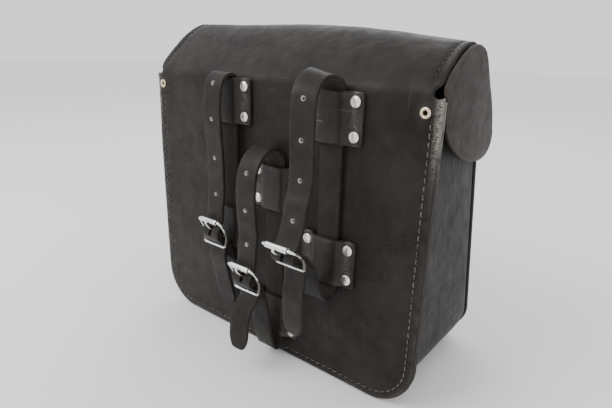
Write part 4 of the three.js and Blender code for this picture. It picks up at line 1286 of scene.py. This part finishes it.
def make_mounting_strap(label, strap, seed):
    thick = lambda points: [[y, z, STRAP_LEATHER] for y, z in points]
    heights = np.interp([0, 0.02, 0.98, 1], [0, 1], strap["back"])
    buckle = strap["buckle"]
    path = [
        *thick(strap["tail"][::-1]), *threaded_run(buckle, -1)[::-1], *thick(strap["run"] + strap["top"]),
        *thick([[RUN_Y, z] for z in heights]), *thick(strap["bottom"]), *wrapped_end(buckle, -1),
    ]
    line = Line(spline(path, 10))
    total = line.length[-1]
    back_start = line.nearest([RUN_Y, strap["back"][0]])
    top_peak = line.nearest(strap["top"][2])
    wrap_start = line.nearest(buckle_point(buckle, -24, -10.2, -1), back_start)
    through = prong_place(line, buckle, -1, top_peak)
    holes = [oval(through, *PRONG_SLOT), eye_slot(line, buckle, -1, wrap_start)]
    for z in strap["holes"]:
        part = (line.length > 60) & (line.length < top_peak)
        v = float(np.interp(z, line.points[part, 1], line.length[part]))
        holes.append(circle([0, v], PUNCH_HOLE, 16))
    w = STRAP_WIDTH / 2
    outline = rounded([[-6, 0], [6, 0], [w, 9], [w, total], [-w, total], [-w, 9]],
                      [3, 3, 5, 2, 2, 5], 4)
    surface = strap_surface(line, strap["x"], strap["sway"], top_peak + 18)
    piece = slab(f"mounting_strap_leather_{label}", outline, surface, STRAP_LEATHER, 0, STRAP_SET, holes,
                 spacing=3.0, radius=0.75, taper=lambda u, v: line.at(v)[2] / STRAP_LEATHER,
                 seed=0.7 * seed, edge_step=2.0, dark_holes=2)
    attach(piece, f"mounting_strap_{label}")
    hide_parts(f"mount_{label}_strap")


# ---------------------------------------------------------------- buckles


def to_buckle(points, buckle, x, out):
    """From the buckle's own frame (x across, -y out, z up) to its place on a strap."""
    y, z, tilt, _ = buckle
    points = np.asarray(points, float).copy()
    if out > 0:
        points = points * [-1, -1, 1]
    return turn_x(points, math.radians(tilt) * (1 if out < 0 else -1)) + [x, y, z]


def frame_depth(v):
    """How deep the frame's side arms dip at each height v, to bring the centre bar behind the strap."""
    return np.interp(v, [LOWER_V, LOWER_V / 2, 0, ROLLER_V / 2, ROLLER_V], [0.0, -2.7, BAR_N, -2.7, 0.0])


def buckle_frame():
    corners = rounded([[-ARM_MIDDLE, LOWER_V], [ARM_MIDDLE, LOWER_V], [ARM_MIDDLE, ROLLER_V],
                       [-ARM_MIDDLE, ROLLER_V]], [3.2] * 4, 7)
    loop = dense(corners, 1.2)
    reach = np.clip((np.abs(loop[:, 0]) - ARM_MIDDLE + 3.2) / 3.2, 0, 1)
    depth = -frame_depth(loop[:, 1]) * smooth_step(0, 1, reach)
    ring = np.column_stack([loop[:, 0], depth, loop[:, 1]])
    parts = [tube(ring, WIRE * 0.9, 14, closed=True)]
    xs = np.linspace(-ARM_MIDDLE + 0.2, ARM_MIDDLE - 0.2, 14)
    parts.append(tube(np.column_stack([xs, np.full(14, -BAR_N), np.zeros(14)]), WIRE, 14))
    return gather(parts)


def buckle_roller():
    bore, outer, half = 1.8, 2.4, 10.0
    profile = [(bore, -half + 0.2), (bore + 0.2, -half), (outer - 0.25, -half), (outer, -half + 0.3)]
    profile += [(outer, h) for h in np.linspace(-half + 1.5, half - 1.5, 7)]
    profile += [(outer, half - 0.3), (outer - 0.25, half), (bore + 0.2, half), (bore, half - 0.2)]
    profile.append((bore, -half + 0.2))
    points, faces = turned(profile, 30)
    points = points[:, [1, 0, 2]]
    seam = np.abs(np.arctan2(points[:, 2], points[:, 1]) - 2.2) < 0.12
    radius = np.hypot(points[:, 1], points[:, 2])
    shrink = np.where(seam & (radius > 2.0), 0.94, 1.0)
    points[:, 1] *= shrink
    points[:, 2] *= shrink
    return points + [0, 0, ROLLER_V], outward(points, faces)


def buckle_prong():
    """Flat wire curled round the centre bar, its stem over the strap to the roller."""
    curl = arc_points([0, BAR_N], 2.6, math.radians(-250), math.radians(270), 14)
    stem = spline([curl[-1], [4.0, -1.6], [8, 1.2], [13.2, 3.7], [15.5, 4.05], [17.6, 3.4]], 5)[1:]
    line = np.array(curl + stem.tolist())
    radii = np.concatenate([np.full(len(curl), 1.05), np.linspace(1.1, 0.85, len(stem))])
    radii[-2:] = (0.72, 0.45)
    points = np.column_stack([np.zeros(len(line)), -line[:, 1], line[:, 0]])
    made, faces = tube(points, radii, 14)
    made[:, 0] *= 1.12
    return made, outward(made, faces)


def end_rivet():
    points, faces = domed_rivet(5.9, head=3.6, height=1.5, shank=1.25)
    tail, tail_faces = turned([(0, -6.6), (2.4, -6.6), (2.9, -6.3), (2.9, -5.8), (0, -5.7)], 24)
    points, faces = gather([(points, faces), (tail, tail_faces)])
    return points + [0, 5.8, -20], faces


def arm_painted_shade(points):
    """Painted shade and dark reflection on the lower half of the frame's side arms, near where the strap
    passes.
    """
    across, v = np.abs(points[:, 0]), points[:, 2]
    return (smooth_step(ARM_MIDDLE - 3.6, ARM_MIDDLE - 2.2, across) * (1 - smooth_step(3, 7, v))
            * smooth_step(LOWER_V + 0.4, LOWER_V + 2, v))


def make_buckle(label, buckle, x, out, strap_body, prong_body, roller_body):
    pieces = (
        ("buckle_frame", buckle_frame(), strap_body, 70),
        ("buckle_roller", buckle_roller(), roller_body, 40),
        ("buckle_prong", buckle_prong(), prong_body, 70),
        ("end_rivet", end_rivet(), strap_body, 40),
    )
    for part, (points, faces), body, sharp in pieces:
        placed = to_buckle(points, buckle, x, out)
        name = f"{label}_{part}"
        values = {"flat": np.asarray(points) * MM + 0.1 * len(label)}
        # The frame's wear attribute is painted shade and dark reflection on its lower side arms.
        if part == "buckle_frame":
            values["wear_and_painted_light"] = arm_painted_shade(np.asarray(points))
        piece = new_object(f"{name}_plated", placed, outward(placed, faces), [NICKEL], None, values, sharp)
        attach(piece, body)
        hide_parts(name)


# ---------------------------------------------------------------- closing straps on the flap

LEAN = math.atan(FRONT_SLOPE)
CLOSURE_BUCKLE = (
    FRONT_Y - FRONT_SLOPE * CLOSURE_BUCKLE_Z + CLOSURE_STAND * math.cos(LEAN),
    CLOSURE_BUCKLE_Z + CLOSURE_STAND * math.sin(LEAN),
    -math.degrees(LEAN),
    0.0,
)


def flap_point(z, out):
    """A point at height z on the flap's outer surface, moved out along its normal, with the flap's lean."""
    v = flap_length_at(z)
    y0, z0 = (float(c) for c in HIDE_LINE.at(v))
    ahead = np.array([float(c) for c in HIDE_LINE.at(v + 2)]) - np.array([y0, z0])
    ahead /= np.linalg.norm(ahead)
    return [y0 - ahead[1] * out, z0 + ahead[0] * out], math.atan2(ahead[0], -ahead[1])


def make_closure_strap(label, side):
    buckle = CLOSURE_BUCKLE
    face = GAP + STRAP_LEATHER / 2
    anchor = [[*flap_point(z, face)[0], STRAP_LEATHER] for z in (204, 195, 184, 173, 162, 152)]
    y0 = flap_point(150, face)[0][0]
    tail = [[*buckle_point(buckle, v, n, 1), STRAP_LEATHER] for v, n in ((-30, -1.2), (-38, -1.2))]
    path = [*anchor, [y0 + 3.9, 134, STRAP_LEATHER], *threaded_run(buckle, 1), *tail]
    line = Line(spline(path, 10))
    total = line.length[-1]
    through = prong_place(line, buckle, 1)
    holes = [oval(through, *PRONG_SLOT)]
    holes += [circle([0, line.nearest(flap_point(z, face)[0])], RIVET_HOLE, 12) for z in CLOSURE_RIVETS_Z]
    holes.append(circle([0, through - 20], 2.2, 16))
    top, low = 11, 10
    corners = [[-top, 0], [top, 0], [top, 44], [low, 60], [low, total - 12], [3.5, total], [-3.5, total],
               [-low, total - 12], [-low, 60], [-top, 44]]
    outline = rounded(corners, [9, 9, 5, 5, 4, 2.5, 2.5, 4, 5, 5], 5)
    x = side * CLOSURE_X
    piece = slab(f"closing_strap_leather_{label}", outline, strap_surface(line, x), STRAP_LEATHER, 0,
                 STRAP_SET, holes, spacing=3.0, radius=0.75, seed=4.0 + side, edge_step=2.0)
    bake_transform(piece)
    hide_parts(f"closure_{label}_anchor", f"closure_{label}_strap")


def make_closure_tab(label, side):
    buckle = CLOSURE_BUCKLE
    end = ((-47, TAB_N), (-31, TAB_N), (-28, TAB_N - 0.3))
    low = [[*buckle_point(buckle, v, n, 1), STRAP_SKIVED] for v, n in end]
    line = Line(spline([*low, *wrapped_end(buckle, 1)], 10))
    total = line.length[-1]
    stud = line.nearest(buckle_point(buckle, STUD_V, TAB_N, 1))
    holes = [eye_slot(line, buckle, 1), circle([0, stud], 2.3, 16)]
    w = STRAP_WIDTH / 2
    outline = rounded([[-w, 0], [w, 0], [w, total], [-w, total]], [7, 7, 2, 2], 5)
    x = side * CLOSURE_X
    piece = slab(f"closing_tab_leather_{label}", outline, strap_surface(line, x), STRAP_SKIVED, 0, STRAP_SET,
                 holes, spacing=3.0, radius=0.7, seed=6.0 + side, edge_step=2.0)
    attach(piece, f"closing_strap_{label}")
    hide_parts(f"closure_{label}_tab")


def backing_strip(x):
    """A thin steel strip against the flap's inner side, its long edges bevelled."""
    inner = [flap_point(z, -HIDE - GAP - 0.5)[0] for z in np.linspace(200, 160, 12)]
    layers = []
    for offset, bevel in ((0.5, -0.2), (-0.5, 0.2)):
        across = ((-4, bevel), (-3, 0), (3, 0), (4, bevel))
        layers.append([[[x + dx, y + offset + dy, z] for dx, dy in across] for y, z in inner])
    rows, columns = len(inner), 4
    ring = [k * columns + j for k, j in strip_rim(rows, columns)]
    under = [rows * columns + k for k in ring]
    faces = ring_faces(under, ring)
    for k in range(rows - 1):
        for j in range(columns - 1):
            a = k * columns + j
            quad = [a, a + 1, a + columns + 1, a + columns]
            faces += [quad, [rows * columns + i for i in quad[::-1]]]
    return np.array(layers).reshape(-1, 3), faces


def strip_rim(rows, columns):
    """The (row, column) places round the rim of a grid, against the turn of its quads."""
    up = [(k, 0) for k in range(rows - 1)]
    across = [(rows - 1, j) for j in range(columns - 1)]
    down = [(k, columns - 1) for k in range(rows - 1, 0, -1)]
    return up + across + down + [(0, j) for j in range(columns - 1, 0, -1)]


def make_closure_rivets(label, side):
    parts = []
    face = STRAP_LEATHER + 2 * GAP
    x = side * CLOSURE_X
    for k, z in enumerate(CLOSURE_RIVETS_Z):
        (y0, z0), lean = flap_point(z, 0)
        points, faces = domed_rivet(face + HIDE + GAP + 0.5, head=4.3)
        points = hammered(points, 60 + k + side) * [1, -1, 1] + [0, face, 0]
        parts.append((turn_x(points, lean) + [x, y0, z0], faces))
    parts.append(backing_strip(x))
    points, faces = gather(parts)
    looks = [1 if i >= len(faces) - len(parts[-1][1]) else 0 for i in range(len(faces))]
    piece = new_object(f"closure_{label}_rivets_domed", points, faces, [RIVET_NICKEL, STEEL], looks, sharp=35)
    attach(piece, "lid")
    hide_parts(f"closure_{label}_rivets")


def make_stud(label, side):
    inner = TAB_N - STRAP_SKIVED / 2 - GAP
    outer = TAB_N + STRAP_SKIVED / 2 + GAP
    mouth = inner - 1.9
    socket = [(0, inner - 0.4), (3.9, inner - 0.4), (3.9, mouth + 0.2), (4.1, mouth), (5.8, mouth),
              (6, mouth + 0.2), (6, inner - 0.2), (5.8, inner), (2, inner), (2, outer), (6.3, outer),
              (6.6, outer + 0.25)]
    socket += dome(6.6, outer + 0.25, 1.35)
    base = -CLOSURE_STAND + GAP
    post = [(0, 0), (5.9, 0), (6, 0.15), (5.7, 0.45), (3.2, 0.6), (2.7, 0.9), (2.6, 1.2), (2.8, 1.5),
            (2.5, 1.85), (1.5, 2), (0, 2)]
    post = [(radius, base + height) for radius, height in post]
    for part, profile, body in (("stud_socket", socket, f"closing_strap_{label}"), ("stud", post, "bag")):
        points, faces = turned(profile, 32)
        points = points + [0, 0, STUD_V]
        placed = to_buckle(points, CLOSURE_BUCKLE, side * CLOSURE_X, 1)
        name = f"closure_{label}_{part}"
        piece = new_object(f"{name}_plated", placed, outward(placed, faces), [NICKEL], sharp=40)
        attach(piece, body)
        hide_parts(name)


# ---------------------------------------------------------------- stage


def make_camera():
    yaw, pitch, roll = CAMERA_YAW, CAMERA_PITCH, CAMERA_ROLL
    ahead = Vector((-math.sin(yaw) * math.cos(pitch), math.cos(yaw) * math.cos(pitch), -math.sin(pitch)))
    right = Vector((math.cos(yaw), math.sin(yaw), 0))
    up = right.cross(ahead)
    level = math.cos(roll) * right + math.sin(roll) * up
    top = math.cos(roll) * up - math.sin(roll) * right
    data = bpy.data.cameras.new("camera")
    data.sensor_width = CAMERA_SENSOR
    data.lens = CAMERA_LENS
    data.clip_start = 0.01
    camera = bpy.data.objects.new("camera", data)
    bpy.context.scene.collection.objects.link(camera)
    turn = Matrix((level, top, -ahead)).transposed().to_4x4()
    camera.matrix_world = Matrix.Translation(Vector(place(CAMERA_PLACE))) @ turn
    bpy.context.scene.camera = camera


def area_light(name, location, target, size, power):
    data = bpy.data.lights.new(name, "AREA")
    data.shape = "RECTANGLE"
    data.size, data.size_y = size
    data.energy = power
    light = bpy.data.objects.new(name, data)
    light.location = location
    light.rotation_euler = (Vector(target) - Vector(location)).to_track_quat("-Z", "Y").to_euler()
    bpy.context.scene.collection.objects.link(light)


def make_stage():
    n = Nodes("pale_floor")
    where = n.add("ShaderNodeTexCoord").outputs["Object"]
    tone = n.noise(where, 6, 2)
    floor_look = n.finish(Base_Color=n.mix(tone, rgb(0.9, 0.9, 0.9), rgb(0.93, 0.93, 0.93)), Roughness=0.9)
    mesh = bpy.data.meshes.new("floor")
    reach = 6.0
    corners = [(sx * reach, sy * reach, 0) for sx, sy in ((-1, -1), (1, -1), (1, 1), (-1, 1))]
    mesh.from_pydata(corners, [], [(0, 1, 2, 3)])
    mesh.materials.append(floor_look)
    floor = bpy.data.objects.new("floor", mesh)
    floor.location.z = PANEL_LOW.z - 0.0005
    bpy.context.scene.collection.objects.link(floor)
    world = bpy.data.worlds.new("studio")
    bpy.context.scene.world = world
    world.use_nodes = True
    background = world.node_tree.nodes["Background"]
    background.inputs["Color"].default_value = (1, 1, 1, 1)
    background.inputs["Strength"].default_value = 1.25
    area_light("key", (-0.55, -1.0, 1.25), (0, 0, 0.15), (0.9, 0.7), 13)
    area_light("side", (1.3, -0.1, 0.7), (0.1, 0, 0.12), (0.6, 0.9), 0.8)
    area_light("behind", (-0.7, 1.2, 1.0), (-0.05, 0, 0.2), (1.0, 0.6), 3.5)


# ---------------------------------------------------------------- assembly

make_hide()
make_gusset()
make_front_panel()
for ear_label, ear_side in (("left", -1), ("right", 1)):
    make_ear(ear_label, ear_side)
    make_seam_rivet(ear_label, ear_side)
    make_closure_strap(ear_label, ear_side)
    make_closure_tab(ear_label, ear_side)
    make_closure_rivets(ear_label, ear_side)
    make_stud(ear_label, ear_side)
    make_buckle(f"closure_{ear_label}", CLOSURE_BUCKLE, ear_side * CLOSURE_X, 1, f"closing_strap_{ear_label}",
                f"closure_{ear_label}_prong", f"closure_{ear_label}_roller")
make_seams()
for number, (strap_label, row) in enumerate(STRAPS.items()):
    make_mounting_strap(strap_label, row, number)
    for level, (keeper_label, keeper_z) in enumerate(row["keepers"].items()):
        make_keeper(f"mount_{strap_label}_keeper_{keeper_label}", row, keeper_z, 2 * number + level)
        make_keeper_rivets(f"mount_{strap_label}_keeper_rivets_{keeper_label}", row, keeper_z,
                           8 * number + 4 * level)
    make_buckle(f"mount_{strap_label}", row["buckle"], row["x"], -1, f"mounting_strap_{strap_label}",
                f"mount_{strap_label}_prong", f"mount_{strap_label}_roller")
make_camera()
make_stage()
